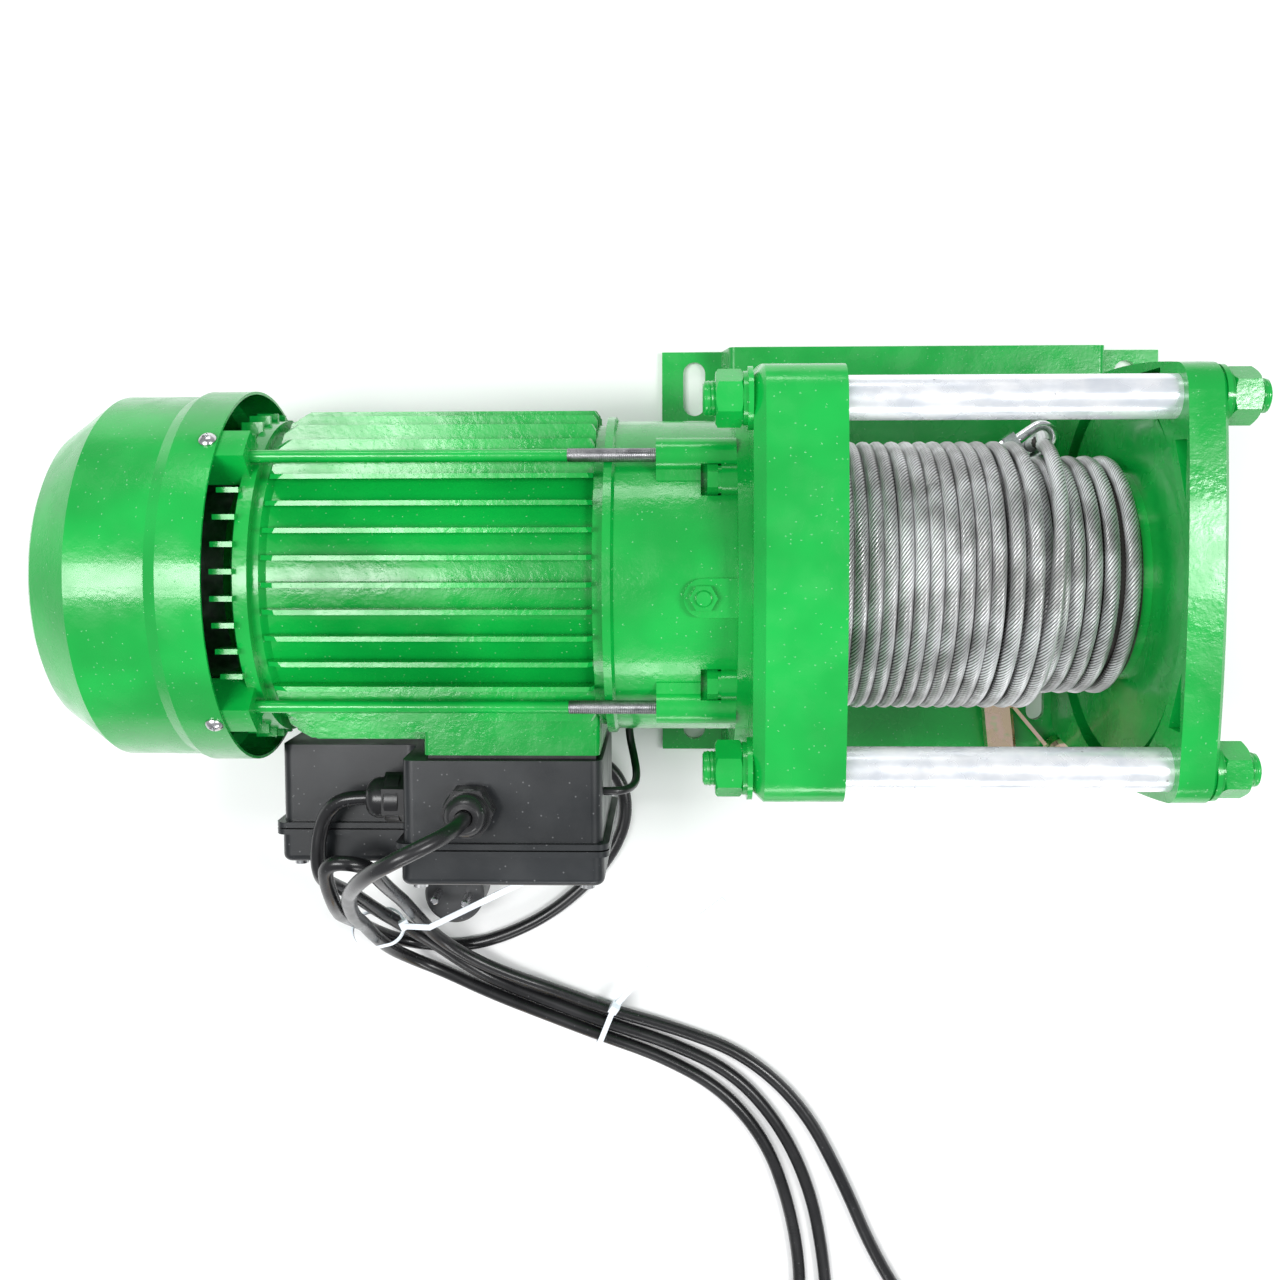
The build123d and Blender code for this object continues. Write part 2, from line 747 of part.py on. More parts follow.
# Fan cowl, its screws, the fan
neck_x = cowl_rim - cowl_band
cone_x = cowl_end + cowl_cone
nose_x = cowl_end + 2.5
with BuildPart() as fan_cowl:
    turn(
        (cowl_rim, 0),
        (cowl_rim, cowl_radius),
        (neck_x, cowl_radius),
        (neck_x - cowl_step, cowl_neck_radius),
        (cone_x, cowl_neck_radius),
        (nose_x, cowl_end_radius),
        (cowl_end, cowl_end_radius - 4),
        (cowl_end, 0),
    )
    turn(
        (cowl_rim, 0),
        (cowl_rim, cowl_radius - cowl_sheet),
        (neck_x + 0.4, cowl_radius - cowl_sheet),
        (neck_x - cowl_step + 0.4, cowl_neck_radius - cowl_sheet),
        (cone_x + 0.5, cowl_neck_radius - cowl_sheet),
        (nose_x + 1.2, cowl_end_radius - cowl_sheet),
        (cowl_end + cowl_sheet, cowl_end_radius - 5),
        (cowl_end + cowl_sheet, 0),
        mode=Mode.SUBTRACT,
    )
    with BuildSketch(station(cowl_end)):
        with PolarLocations(58, 18):
            SlotOverall(22, 5)
        with PolarLocations(32, 10):
            SlotOverall(18, 5)
        Circle(9)
    extrude(amount=cowl_sheet, mode=Mode.SUBTRACT)
    for turned in (45, 135, 225, 315):
        screw_plane = Plane(
            origin=(cowl_screw_x, axis_side, axis_height),
            x_dir=(1, 0, 0),
            z_dir=(0, cos(radians(turned)), sin(radians(turned))),
        )
        with BuildSketch(screw_plane.offset(cowl_radius - 5)):
            Circle(2.3)
        extrude(amount=8, mode=Mode.SUBTRACT)
write(fan_cowl.part, "fan_cowl")

with BuildPart() as cross_screw:
    with BuildSketch():
        Circle(2.0 - bolt_play)
    extrude(amount=-6.6)
    with BuildSketch(Plane.XZ):
        with BuildLine():
            Line((0, 0), (4.4, 0))
            Line((4.4, 0), (4.4, 0.7))
            ThreePointArc((4.4, 0.7), (2.9, 2.2), (0, 2.8))
            Line((0, 2.8), (0, 0))
        make_face()
    revolve(axis=Axis.Z)
    with BuildSketch(Plane.XY.offset(1.4)):
        Rectangle(4.2, 0.9)
        Rectangle(0.9, 4.2)
    extrude(amount=2, mode=Mode.SUBTRACT)

with BuildPart() as cowl_screws:
    for turned in (45, 135, 225, 315):
        screw_plane = Plane(
            origin=(cowl_screw_x, axis_side, axis_height),
            x_dir=(1, 0, 0),
            z_dir=(0, cos(radians(turned)), sin(radians(turned))),
        )
        with Locations(screw_plane.offset(cowl_radius)):
            add(cross_screw.part)
write(cowl_screws.part, "cowl_screws")

fan_left = cowl_end + 22.0
fan_width = 24.0
fan_seat = 8.0
with BuildPart() as cooling_fan:
    turn(
        (fan_left, fan_seat),
        (fan_left, fan_seat + 7),
        (fan_left + fan_width - 3, fan_seat + 9),
        (fan_left + fan_width - 3, 52),
        (fan_left + fan_width, 52),
        (fan_left + fan_width, fan_seat),
    )
    with BuildSketch(station(fan_left)):
        with PolarLocations(0, fan_blades, start_angle=11):
            with Locations(((fan_radius + 13) / 2, 0)):
                Rectangle(fan_radius - 13, 2.6)
    extrude(amount=fan_width)
write(cooling_fan.part, "cooling_fan")

# Spring-applied disc brake between the bell and the fan
magnet_left = hub_left - 20.0
brake_travel = 0.6
armature_right = magnet_left - brake_travel - 0.4
armature_left = armature_right - 5.0
disc_right = armature_left - part_gap
disc_left = disc_right - 6.0
brake_plate_right = disc_left - part_gap
brake_pin_places = [(52.0 * cos(radians(a)), 52.0 * sin(radians(a))) for a in (90, 210, 330)]
with BuildPart() as brake_magnet:
    turn(
        (magnet_left, 24),
        (magnet_left, 56),
        (hub_left, 56),
        (hub_left, 24),
    )
    turn(
        (magnet_left, 34),
        (magnet_left, 44),
        (magnet_left + 13, 44),
        (magnet_left + 13, 34),
        mode=Mode.SUBTRACT,
    )
    turn(
        (magnet_left + 1, 34.5),
        (magnet_left + 1, 43.5),
        (magnet_left + 13, 43.5),
        (magnet_left + 13, 34.5),
    )
write(brake_magnet.part, "brake_magnet")

with BuildPart() as brake_armature:
    with BuildSketch(station(armature_left)):
        Circle(56)
        Circle(24, mode=Mode.SUBTRACT)
        with Locations(*brake_pin_places):
            Circle(3.4, mode=Mode.SUBTRACT)
    extrude(amount=armature_right - armature_left)
write(brake_armature.part, "brake_armature")

with BuildPart() as brake_plate:
    with BuildSketch(station(brake_plate_right)):
        Circle(56)
        Circle(20, mode=Mode.SUBTRACT)
    extrude(amount=-5)
    with BuildSketch(station(brake_plate_right)):
        with Locations(*brake_pin_places):
            Circle(3.0)
    extrude(amount=magnet_left - brake_plate_right)
write(brake_plate.part, "brake_plate")

with BuildPart() as brake_disc:
    turn(
        (disc_left, fan_seat),
        (disc_left, 47),
        (disc_right, 47),
        (disc_right, 16),
        (disc_right + 10, 16),
        (disc_right + 10, fan_seat),
    )
write(brake_disc.part, "brake_disc")

# Rotor, stator pack and winding
pinion_left = chamber_left + 7.0
wheel_left = pinion_left + 1.0
pinion_right = wheel_left + wheel_face + 1.0
core_left = stator_left + 30.0
core_right = housing_left - 30.0
rotor_core_radius = 42.0
rotor_pitch = gear_module * rotor_teeth / 2
half_tooth = pi * gear_module / 4 - backlash / 4
with BuildPart() as rotor_shaft:
    turn(
        (fan_left - 2, 0),
        (fan_left - 2, fan_seat - 0.02),
        (hub_left - 4, fan_seat - 0.02),
        (hub_left - 4, rotor_journal),
        (stator_left + 6, rotor_journal),
        (stator_left + 6, 14),
        (housing_left - 6, 14),
        (housing_left - 6, rotor_journal),
        (chamber_left + 2, rotor_journal),
        (chamber_left + 2, rotor_pitch - 1.3 * gear_module),
        (pinion_left, rotor_pitch - 1.3 * gear_module),
        (pinion_left, 0),
    )
    with BuildSketch(station(pinion_left)):
        with BuildLine():
            tooth_outline(
                rotor_teeth,
                rotor_pitch - 1.3 * gear_module,
                rotor_pitch + 0.9 * gear_module,
                half_tooth,
            )
        make_face()
    extrude(amount=pinion_right - pinion_left)
write(rotor_shaft.part, "rotor_shaft")

with BuildPart() as rotor_core:
    turn(
        (core_left, 14.02),
        (core_left, rotor_core_radius),
        (core_right, rotor_core_radius),
        (core_right, 14.02),
    )
write(rotor_core.part, "rotor_core")

with BuildPart() as stator_core:
    with BuildSketch(station(core_left)):
        Circle(stator_bore - 0.02)
        Circle(rotor_core_radius + 0.6, mode=Mode.SUBTRACT)
        with PolarLocations(54, 24):
            Rectangle(15, 6, mode=Mode.SUBTRACT)
    extrude(amount=core_right - core_left)
write(stator_core.part, "stator_core")

with BuildPart() as stator_winding:
    with BuildSketch(station(core_left)):
        with PolarLocations(54, 24):
            Rectangle(14.6, 5.6)
    extrude(amount=core_right - core_left)
    turn((core_left - 18, 48), (core_left - 18, 60), (core_left, 62), (core_left, 46))
    turn((core_right, 46), (core_right, 62), (core_right + 18, 60), (core_right + 18, 48))
write(stator_winding.part, "stator_winding")


def bearing(left, width, bore, outside, mode=Mode.ADD, plane=AXIS_PLANE, axis=AXIS):
    """Adds a sealed ball bearing with a shallow groove in each side."""
    low, high, groove = bore + 2.6, outside - 2.6, 0.8
    turn(
        (left, bore),
        (left, low),
        (left + groove, low),
        (left + groove, high),
        (left, high),
        (left, outside),
        (left + width, outside),
        (left + width, high),
        (left + width - groove, high),
        (left + width - groove, low),
        (left + width, low),
        (left + width, bore),
        mode=mode,
        plane=plane,
        axis=axis,
    )


motor_bearing_width = 14.0
fit = 0.02
# Layshaft with the wheel of the first stage and the pinion of the second
lay_pinion_left = drum_flange_right + 4.0
lay_pinion_right = lay_pinion_left + 20.0
lay_pitch = gear_module * lay_teeth / 2
wheel_pitch = gear_module * wheel_teeth / 2
ring_pitch = gear_module * ring_teeth / 2
wheel_seat = 9.0
small_left = chamber_left - lay_pocket_depth
with BuildPart() as layshaft:
    turn(
        (small_left + 1, 0),
        (small_left + 1, small_journal),
        (chamber_left + 2, small_journal),
        (chamber_left + 2, wheel_seat),
        (wheel_left + wheel_face, wheel_seat),
        (wheel_left + wheel_face, wheel_seat + 3),
        (wheel_left + wheel_face + 4, wheel_seat + 3),
        (wheel_left + wheel_face + 6, wheel_seat),
        (casing_web_left - 1, wheel_seat),
        (casing_web_left - 1, lay_journal_radius),
        (casing_right - recess_depth + 1, lay_journal_radius),
        (casing_right - recess_depth + 1, lay_pitch - 1.3 * gear_module),
        (lay_pinion_left, lay_pitch - 1.3 * gear_module),
        (lay_pinion_left, 0),
        plane=LAY_PLANE,
        axis=LAY_AXIS,
    )
    with BuildSketch(station(lay_pinion_left, LAY_HEIGHT)):
        with BuildLine():
            tooth_outline(
                lay_teeth,
                lay_pitch - 1.3 * gear_module,
                lay_pitch + 0.9 * gear_module,
                half_tooth,
                -pi / 2,
            )
        make_face()
    extrude(amount=lay_pinion_right - lay_pinion_left)
write(layshaft.part, "layshaft")

# The rotor pinion has a tooth towards the wheel, so the wheel has a gap there
wheel_turn = pi / 2 + pi / wheel_teeth
with BuildPart() as layshaft_wheel:
    with BuildSketch(station(wheel_left, LAY_HEIGHT)):
        with BuildLine():
            tooth_outline(
                wheel_teeth,
                wheel_pitch - 1.2 * gear_module,
                wheel_pitch + 0.9 * gear_module,
                half_tooth,
                wheel_turn,
            )
        make_face()
        Circle(wheel_seat + fit, mode=Mode.SUBTRACT)
        with PolarLocations(21, 6):
            Circle(5.5, mode=Mode.SUBTRACT)
    extrude(amount=wheel_face)
write(layshaft_wheel.part, "layshaft_wheel")

with BuildPart() as shaft_bearings:
    bearing(bell_left - 3, motor_bearing_width, rotor_journal + running_gap, front_bearing_radius - fit)
    bearing(housing_left, motor_bearing_width, rotor_journal + running_gap, front_bearing_radius - fit)
    bearing(
        small_left,
        lay_pocket_depth - 1,
        small_journal + running_gap,
        small_bearing_radius - fit,
        plane=LAY_PLANE,
        axis=LAY_AXIS,
    )
    bearing(
        casing_web_left + 1.5,
        web_thickness - 3,
        lay_journal_radius + running_gap,
        lay_bearing_radius - fit,
        plane=LAY_PLANE,
        axis=LAY_AXIS,
    )
write(shaft_bearings.part, "shaft_bearings")

# Ring gear in the drum's open end
ring_left = drum_flange_right + 2.0
ring_outside = core_radius - 2.5
with BuildPart() as ring_gear:
    with BuildSketch(station(ring_left)):
        Circle(ring_outside)
        with BuildSketch(mode=Mode.PRIVATE) as gaps:
            with BuildLine():
                tooth_outline(
                    ring_teeth,
                    ring_pitch - 0.8 * gear_module,
                    ring_pitch + 1.2 * gear_module,
                    pi * gear_module / 4 + backlash / 4,
                    -pi / 2,
                )
            make_face()
        add(gaps.sketch, mode=Mode.SUBTRACT)
    extrude(amount=ring_face)
write(ring_gear.part, "ring_gear")

# Drum: barrel, two flanges, and a web with a bearing seat at each end
web_left = ring_left + ring_face + 4.0
right_web_left = right_flange_left - 8.0
barrel_inside = core_radius - 6.0
with BuildPart() as drum:
    turn(
        (drum_left_face, ring_outside + fit),
        (drum_left_face, flange_radius),
        (drum_flange_right, flange_radius),
        (drum_flange_right, core_radius),
        (right_flange_left, core_radius),
        (right_flange_left, flange_radius),
        (drum_right_face, flange_radius),
        (drum_right_face, bearing_radius),
        (drum_right_face - bearing_width, bearing_radius),
        (drum_right_face - bearing_width, bearing_radius - 4),
        (right_web_left - 2, bearing_radius - 4),
        (right_web_left - 2, bearing_radius + 6),
        (right_web_left + 4, bearing_radius + 6),
        (right_web_left + 4, barrel_inside),
        (web_left + 8, barrel_inside),
        (web_left + 8, bearing_radius + 6),
        (web_left + bearing_width + 3, bearing_radius + 6),
        (web_left + bearing_width + 3, bearing_radius - 4),
        (web_left + bearing_width, bearing_radius - 4),
        (web_left + bearing_width, bearing_radius),
        (web_left, bearing_radius),
        (web_left, ring_outside + fit),
    )
write(drum.part, "drum")

with BuildPart() as drum_bearings:
    bearing(web_left, bearing_width, axle_radius + running_gap, bearing_radius - fit)
    bearing(
        drum_right_face - bearing_width, bearing_width, axle_radius + running_gap, bearing_radius - fit
    )
write(drum_bearings.part, "drum_bearings")

axle_left = casing_web_left - 8.0
axle_right = bracket_web + 19.0
with BuildPart() as drum_axle:
    turn(
        (axle_left, 0),
        (axle_left, axle_radius - 1),
        (axle_left + 1, axle_radius),
        (axle_right - 1, axle_radius),
        (axle_right, axle_radius - 1),
        (axle_right, 0),
    )
    turn(
        (axle_right - 3, axle_radius - 0.8),
        (axle_right - 3, axle_radius + 1),
        (axle_right - 1.4, axle_radius + 1),
        (axle_right - 1.4, axle_radius - 0.8),
        mode=Mode.SUBTRACT,
    )
    turn(
        (axle_left + 2.4, axle_radius - 0.8),
        (axle_left + 2.4, axle_radius + 1),
        (axle_left + 4, axle_radius + 1),
        (axle_left + 4, axle_radius - 0.8),
        mode=Mode.SUBTRACT,
    )
write(drum_axle.part, "drum_axle")

with BuildPart() as axle_circlips:
    turn(
        (axle_right - 3, axle_radius - 0.78),
        (axle_right - 3, axle_radius + 3.5),
        (axle_right - 1.45, axle_radius + 3.5),
        (axle_right - 1.45, axle_radius - 0.78),
    )
    turn(
        (axle_left + 2.45, axle_radius - 0.78),
        (axle_left + 2.45, axle_radius + 3.5),
        (axle_left + 4, axle_radius + 3.5),
        (axle_left + 4, axle_radius - 0.78),
    )
write(axle_circlips.part, "axle_circlips")

# Wound rope: the outer shape of its wraps, two layers at the motor end and one at the other
pack_left = drum_flange_right + part_gap
wrap_dip = 2.3
full_end = pack_left + full_wraps * rope_pitch
low_wraps = int((right_flange_left - pack_gap - full_end) / rope_pitch)
pack_right = full_end + low_wraps * rope_pitch
with BuildPart() as wound_rope:
    with BuildSketch(AXIS_PLANE):
        with BuildLine():
            for wrap in range(full_wraps):
                start = pack_left + wrap * rope_pitch
                ThreePointArc(
                    (start, full_pack_radius - wrap_dip),
                    (start + rope_pitch / 2, full_pack_radius),
                    (start + rope_pitch, full_pack_radius - wrap_dip),
                )
            Line((full_end, full_pack_radius - wrap_dip), (full_end, low_pack_radius - wrap_dip))
            for wrap in range(low_wraps):
                start = full_end + wrap * rope_pitch
                ThreePointArc(
                    (start, low_pack_radius - wrap_dip),
                    (start + rope_pitch / 2, low_pack_radius),
                    (start + rope_pitch, low_pack_radius - wrap_dip),
                )
            Polyline(
                (pack_right, low_pack_radius - wrap_dip),
                (pack_right, core_radius + fit),
                (pack_left, core_radius + fit),
                (pack_left, full_pack_radius - wrap_dip),
            )
        make_face()
    revolve(axis=AXIS)
write(wound_rope.part, "wound_rope")


def route_radii(points):
    """The radius at each inner point: 0.45 of its shorter run over the tangent of half its turn."""
    spots = [Vector(*point) for point in points]
    runs = [after - before for before, after in zip(spots, spots[1:])]
    radii = []
    for before, after in zip(runs, runs[1:]):
        shorter = min(before.length, after.length)
        half_turn = radians(before.get_angle(after)) / 2
        radii.append(0.45 * shorter / tan(half_turn))
    return radii


def report_route(name, points, diameter, volume, length):
    """Prints a route's radii and compares its volume with its section times its length."""
    radii = route_radii(points)
    print(name, "radii", [round(radius) for radius in radii], "smallest", round(min(radii), 1))
    print(name, "length", round(length), "volume ratio", round(volume / (pi * diameter**2 / 4 * length), 4))


# Rope tail: off the drum, through the clip, round the hook's eye and back to the clip
rope_radius = rope_diameter / 2
hook_eye = (44.0, -58.7)
eye_height = 50.0
eye_loop = 13.4
rope_tail_points = [
    (49.0, 62.3, 142.0),
    (54.5, 67.5, 119.0),
    (59.5, 68.8, 96.0),
    (59.0, 65.0, 70.0),
    (57.5, 50.0, 48.0),
    (54.0, 26.0, 38.0),
    (49.5, -4.0, 36.2),
    (46.0, -32.0, eye_height - eye_loop),
    (44.0, -58.7, eye_height - eye_loop),
    (44.0, -58.7, eye_height + eye_loop),
    (45.0, -32.0, eye_height + eye_loop),
    (47.5, -6.0, 61.5),
    (50.0, 20.0, 59.5),
    (52.0, 45.0, 63.0),
    (52.6, 60.0, 79.0),
    (52.7, 64.2, 97.0),
    (52.9, 65.0, 114.0),
]
with BuildPart() as rope_tail:
    with BuildLine() as rope_tail_path:
        FilletPolyline(*rope_tail_points, radius=route_radii(rope_tail_points))
    with BuildSketch(rope_tail_path.line ^ 0):
        Circle(rope_radius)
    sweep()
write(rope_tail.part, "rope_tail")
report_route(
    "rope_tail", rope_tail_points, rope_diameter, rope_tail.part.volume, rope_tail_path.wire().length
)

# Wire rope clip: saddle, U-bolt and its two nuts, level with the two strands that it holds
clip_height = 96.0
clip_across = Vector(-0.56, 0.83, 0).normalized()
live = Vector(59.5, 68.8, clip_height)
clip_plane = Plane(origin=live, x_dir=clip_across, z_dir=(0, 0, 1))
strand_gap = 8.3
u_radius = rope_radius + 3.1
leg_length = 28.4
u_bar = 2.6
with BuildPart() as u_bolt:
    with BuildLine(clip_plane) as u_path:
        Line((-u_radius, leg_length), (-u_radius, 0))
        ThreePointArc((-u_radius, 0), (0, -u_radius), (u_radius, 0))
        Line((u_radius, 0), (u_radius, leg_length))
    with BuildSketch(u_path.line ^ 0):
        Circle(u_bar)
    sweep()
write(u_bolt.part, "u_bolt")

saddle_start = strand_gap + rope_radius + 0.35
with BuildPart() as clip_saddle:
    with BuildSketch(clip_plane.offset(-5.5)):
        with Locations((0, saddle_start + 3.6)):
            Rectangle(2 * u_radius + 9.6, 7.2)
        with Locations((0, saddle_start - 2.4)):
            Rectangle(7.4, 4.8)
        with Locations((0, strand_gap)):
            Circle(rope_radius + 0.3, mode=Mode.SUBTRACT)
    extrude(amount=11)
    fillet(clip_saddle.edges().filter_by(Axis.Z).sort_by(Axis.Y)[:1], 0.5)
    with BuildSketch(clip_plane):
        with Locations((-u_radius, saddle_start + 3.6), (u_radius, saddle_start + 3.6)):
            Rectangle(2 * u_bar + 0.2, 8)
    extrude(amount=u_bar + 0.1, both=True, mode=Mode.SUBTRACT)
write(clip_saddle.part, "clip_saddle")

nut_start = saddle_start + 7.3
with BuildPart() as clip_nuts:
    for side in (-1, 1):
        leg_plane = Plane(
            origin=clip_plane.from_local_coords((side * u_radius, nut_start, 0)),
            x_dir=(0, 0, 1),
            z_dir=clip_plane.y_dir,
        )
        with BuildSketch(leg_plane):
            RegularPolygon(hexagon_radius(8.5), 6)
            Circle(u_bar + 0.05, mode=Mode.SUBTRACT)
        extrude(amount=4.6)
write(clip_nuts.part, "clip_nuts")

# Hook: lies on the base plate with its bowl, and the rope's loop holds up its eye
hook_turn = 8.0
hook_thickness = 13.0
hook_lift = 11.5
hook_shank = 8.5
hook_eye_radius = 17.0
hook_eye_bore = 9.5
bowl_inner = 10.0
bowl_outer = bowl_inner + 2 * hook_shank
bowl_y = -62.0
bowl_x = bowl_inner + hook_shank
hook_rest = 80.0
hook_pitch = degrees(asin(hook_lift / hook_rest))
hook_place = (
    Location((hook_eye[0], hook_eye[1], plateau_height + hook_lift + part_gap))
    * Rotation(0, 0, hook_turn)
    * Rotation(hook_pitch, 0, 0)
)
tip_angle = radians(-20.0)
bar_middle = (bowl_inner + bowl_outer) / 2
tip = (bowl_x + bar_middle * cos(tip_angle), bowl_y + bar_middle * sin(tip_angle))
latch_pin = (7.0, -31.0)
latch_boss = 5.2
latch_slot = hook_thickness - 5.2
latch_pin_radius = 1.6
with BuildPart() as hook_body:
    with BuildSketch():
        with Locations((bowl_x, bowl_y)):
            Circle(bowl_outer)
            Circle(bowl_inner, mode=Mode.SUBTRACT)
        with BuildLine():
            Polyline(
                (bowl_x, bowl_y),
                (bowl_x + 60 * cos(tip_angle), bowl_y + 60 * sin(tip_angle)),
                (bowl_x + 60, bowl_y + 90),
                (bowl_x - bowl_inner, bowl_y + 90),
                (bowl_x - bowl_inner, bowl_y),
                close=True,
            )
        make_face(mode=Mode.SUBTRACT)
        with Locations(tip):
            Circle(hook_shank)
        with Locations((0, bowl_y / 2)):
            Rectangle(2 * hook_shank, -bowl_y)
        Circle(hook_eye_radius)
        Circle(hook_eye_bore, mode=Mode.SUBTRACT)
        with Locations(latch_pin):
            Circle(latch_boss)
    extrude(amount=hook_thickness)
    hook_rims = hook_body.faces().filter_by(Axis.Z).sort_by(Axis.Z)
    chamfer(hook_rims[0].outer_wire().edges() + hook_rims[-1].outer_wire().edges(), 2.0)
    with BuildSketch(Plane.XY.offset((hook_thickness - latch_slot) / 2)):
        with Locations(latch_pin):
            Circle(latch_boss + 1.2)
            with Locations((5.0, -8.0)):
                Rectangle(14.0, 22.0)
    extrude(amount=latch_slot, mode=Mode.SUBTRACT)
    with BuildSketch():
        with Locations(latch_pin):
            Circle(latch_pin_radius)
    extrude(amount=hook_thickness, mode=Mode.SUBTRACT)

with BuildPart() as hook:
    with Locations(hook_place):
        add(hook_body.part)
write(hook.part, "hook")

latch_end = Vector(tip[0] - 9.0, tip[1] + 6.0, 0)
latch_reach = latch_end - Vector(latch_pin[0], latch_pin[1], 0)
latch_width = latch_slot - 0.6
latch_bottom = (hook_thickness - latch_width) / 2
latch_sheet = 2.2
with BuildPart() as latch_strip:
    latch_plane = Plane(origin=(*latch_pin, latch_bottom), x_dir=latch_reach, z_dir=(0, 0, 1))
    with BuildSketch(latch_plane):
        Circle(3.4)
        with Locations((latch_reach.length / 2, 0)):
            Rectangle(latch_reach.length, latch_sheet)
        Circle(latch_pin_radius + running_gap, mode=Mode.SUBTRACT)
    extrude(amount=latch_width)
with BuildPart() as hook_latch:
    with Locations(hook_place):
        add(latch_strip.part)
write(hook_latch.part, "hook_latch")

with BuildPart() as rivet:
    with BuildSketch(Plane.XY.offset(-0.6)):
        with Locations(latch_pin):
            Circle(latch_pin_radius - fit)
    extrude(amount=hook_thickness + 1.2)
with BuildPart() as latch_rivet:
    with Locations(hook_place):
        add(rivet.part)
write(latch_rivet.part, "latch_rivet")

# Terminal box with its rim, lid, screws and what is inside
side_gland_y = -126.0
side_gland_z = 158.0
top_gland_x = -255.0
gland_thread = 10.0
lid_flange = 3.0
lid_cap = 16.2
lid_back = box_front - seal_thickness
lid_front = lid_back - lid_flange - lid_cap
lid_screw_inset = 8.0
lid_screw_radius = 2.0
lid_screw_places = [
    (box_left + lid_screw_inset, box_low + lid_screw_inset),
    (box_left + lid_screw_inset, box_middle - lid_screw_inset),
    (box_right - lid_screw_inset, box_low + lid_screw_inset),
    (box_right - lid_screw_inset, box_high - lid_screw_inset),
    (box_step + lid_screw_inset, box_high - lid_screw_inset),
]
screw_column = 5.0
screw_depth = 14.0


def box_block(y, inset, corner, depth, mode=Mode.ADD):
    """Adds a slab of the box's stepped outline, inset from the box's sides, from y towards -Y."""
    with BuildSketch(box_plane(y)) as slab:
        with BuildLine():
            Polyline(
                (box_left + inset, box_low + inset),
                (box_right - inset, box_low + inset),
                (box_right - inset, box_high - inset),
                (box_step + inset, box_high - inset),
                (box_step + inset, box_middle - inset),
                (box_left + inset, box_middle - inset),
                close=True,
            )
        make_face()
        fillet(slab.vertices(), corner)
    extrude(slab.sketch, amount=depth, mode=mode)


with BuildPart() as terminal_box:
    box_block(box_back, 0, box_corner, box_depth)
    box_block(box_front + rim_thickness, -rim_width, box_corner, rim_thickness)
    box_block(box_back - box_wall, box_wall, box_corner - box_wall, box_depth, mode=Mode.SUBTRACT)
    with BuildSketch(box_plane(box_front)):
        with Locations(*lid_screw_places):
            Circle(screw_column)
    extrude(amount=-box_depth + box_wall)
    with BuildSketch(box_plane(box_front)):
        with Locations(*lid_screw_places):
            Circle(lid_screw_radius)
    extrude(amount=-screw_depth, mode=Mode.SUBTRACT)
    with BuildSketch(box_plane(box_back)):
        with Locations((wire_hole_x, axis_height)):
            Circle(wire_hole_radius)
        with Locations(*seat_bolt_places):
            Circle(2.5 + 0.2)
    extrude(amount=box_wall, mode=Mode.SUBTRACT)
    with BuildSketch(Plane(origin=(box_step, side_gland_y, side_gland_z), z_dir=(1, 0, 0))):
        Circle(gland_thread + 0.1)
    extrude(amount=box_wall, mode=Mode.SUBTRACT)
    with BuildSketch(Plane.XY.offset(box_high)):
        with Locations((top_gland_x, side_gland_y)):
            Circle(gland_thread + 0.1)
    extrude(amount=-box_wall, mode=Mode.SUBTRACT)
write(terminal_box.part, "terminal_box")

with BuildPart() as box_gaskets:
    with BuildSketch(box_plane(axis_side - seat_reach)):
        with Locations((wire_hole_x, axis_height)):
            Rectangle(seat_width - 4, 2 * seat_half_height - 4)
            Circle(wire_hole_radius, mode=Mode.SUBTRACT)
        with Locations(*seat_bolt_places):
            Circle(2.5 + 0.2, mode=Mode.SUBTRACT)
    extrude(amount=gasket_thickness)
    box_block(box_front, 0, box_corner, seal_thickness)
    box_block(box_front, screw_column, 1.0, seal_thickness, mode=Mode.SUBTRACT)
    with BuildSketch(box_plane(box_front)):
        with Locations(*lid_screw_places):
            Circle(lid_screw_radius + 0.3)
    extrude(amount=seal_thickness, mode=Mode.SUBTRACT)
write(box_gaskets.part, "box_gaskets")

with BuildPart() as box_lid:
    box_block(lid_back, -rim_width, box_corner, lid_flange)
    box_block(lid_back - lid_flange, -1.0, box_corner, lid_cap)
    fillet(box_lid.faces().sort_by(Axis.Y)[0].edges(), 4.0)
    box_block(lid_back, box_wall, box_corner - box_wall, lid_flange + lid_cap - box_wall, mode=Mode.SUBTRACT)
    with BuildSketch(box_plane(lid_back)):
        with Locations(*lid_screw_places):
            Circle(screw_column)
    extrude(amount=lid_flange + lid_cap - box_wall)
    with BuildSketch(box_plane(lid_back)):
        with Locations(*lid_screw_places):
            Circle(lid_screw_radius + 0.2)
    extrude(amount=lid_flange + lid_cap, mode=Mode.SUBTRACT)
write(box_lid.part, "box_lid")

with BuildPart() as box_screws:
    with BuildSketch(box_plane(lid_front)):
        with Locations(*lid_screw_places):
            Circle(3.8)
    extrude(amount=2.4)
    with BuildSketch(box_plane(lid_front)):
        with Locations(*lid_screw_places):
            Circle(lid_screw_radius - bolt_play)
    extrude(amount=-lid_flange - lid_cap - seal_thickness - screw_depth + 1)
    with BuildSketch(box_plane(box_back - box_wall)):
        with Locations(*seat_bolt_places):
            Circle(4.2)
    extrude(amount=3.0)
    with BuildSketch(box_plane(box_back - box_wall)):
        with Locations(*seat_bolt_places):
            Circle(2.5 - bolt_play)
    extrude(amount=-box_wall - gasket_thickness - 11)
write(box_screws.part, "box_screws")

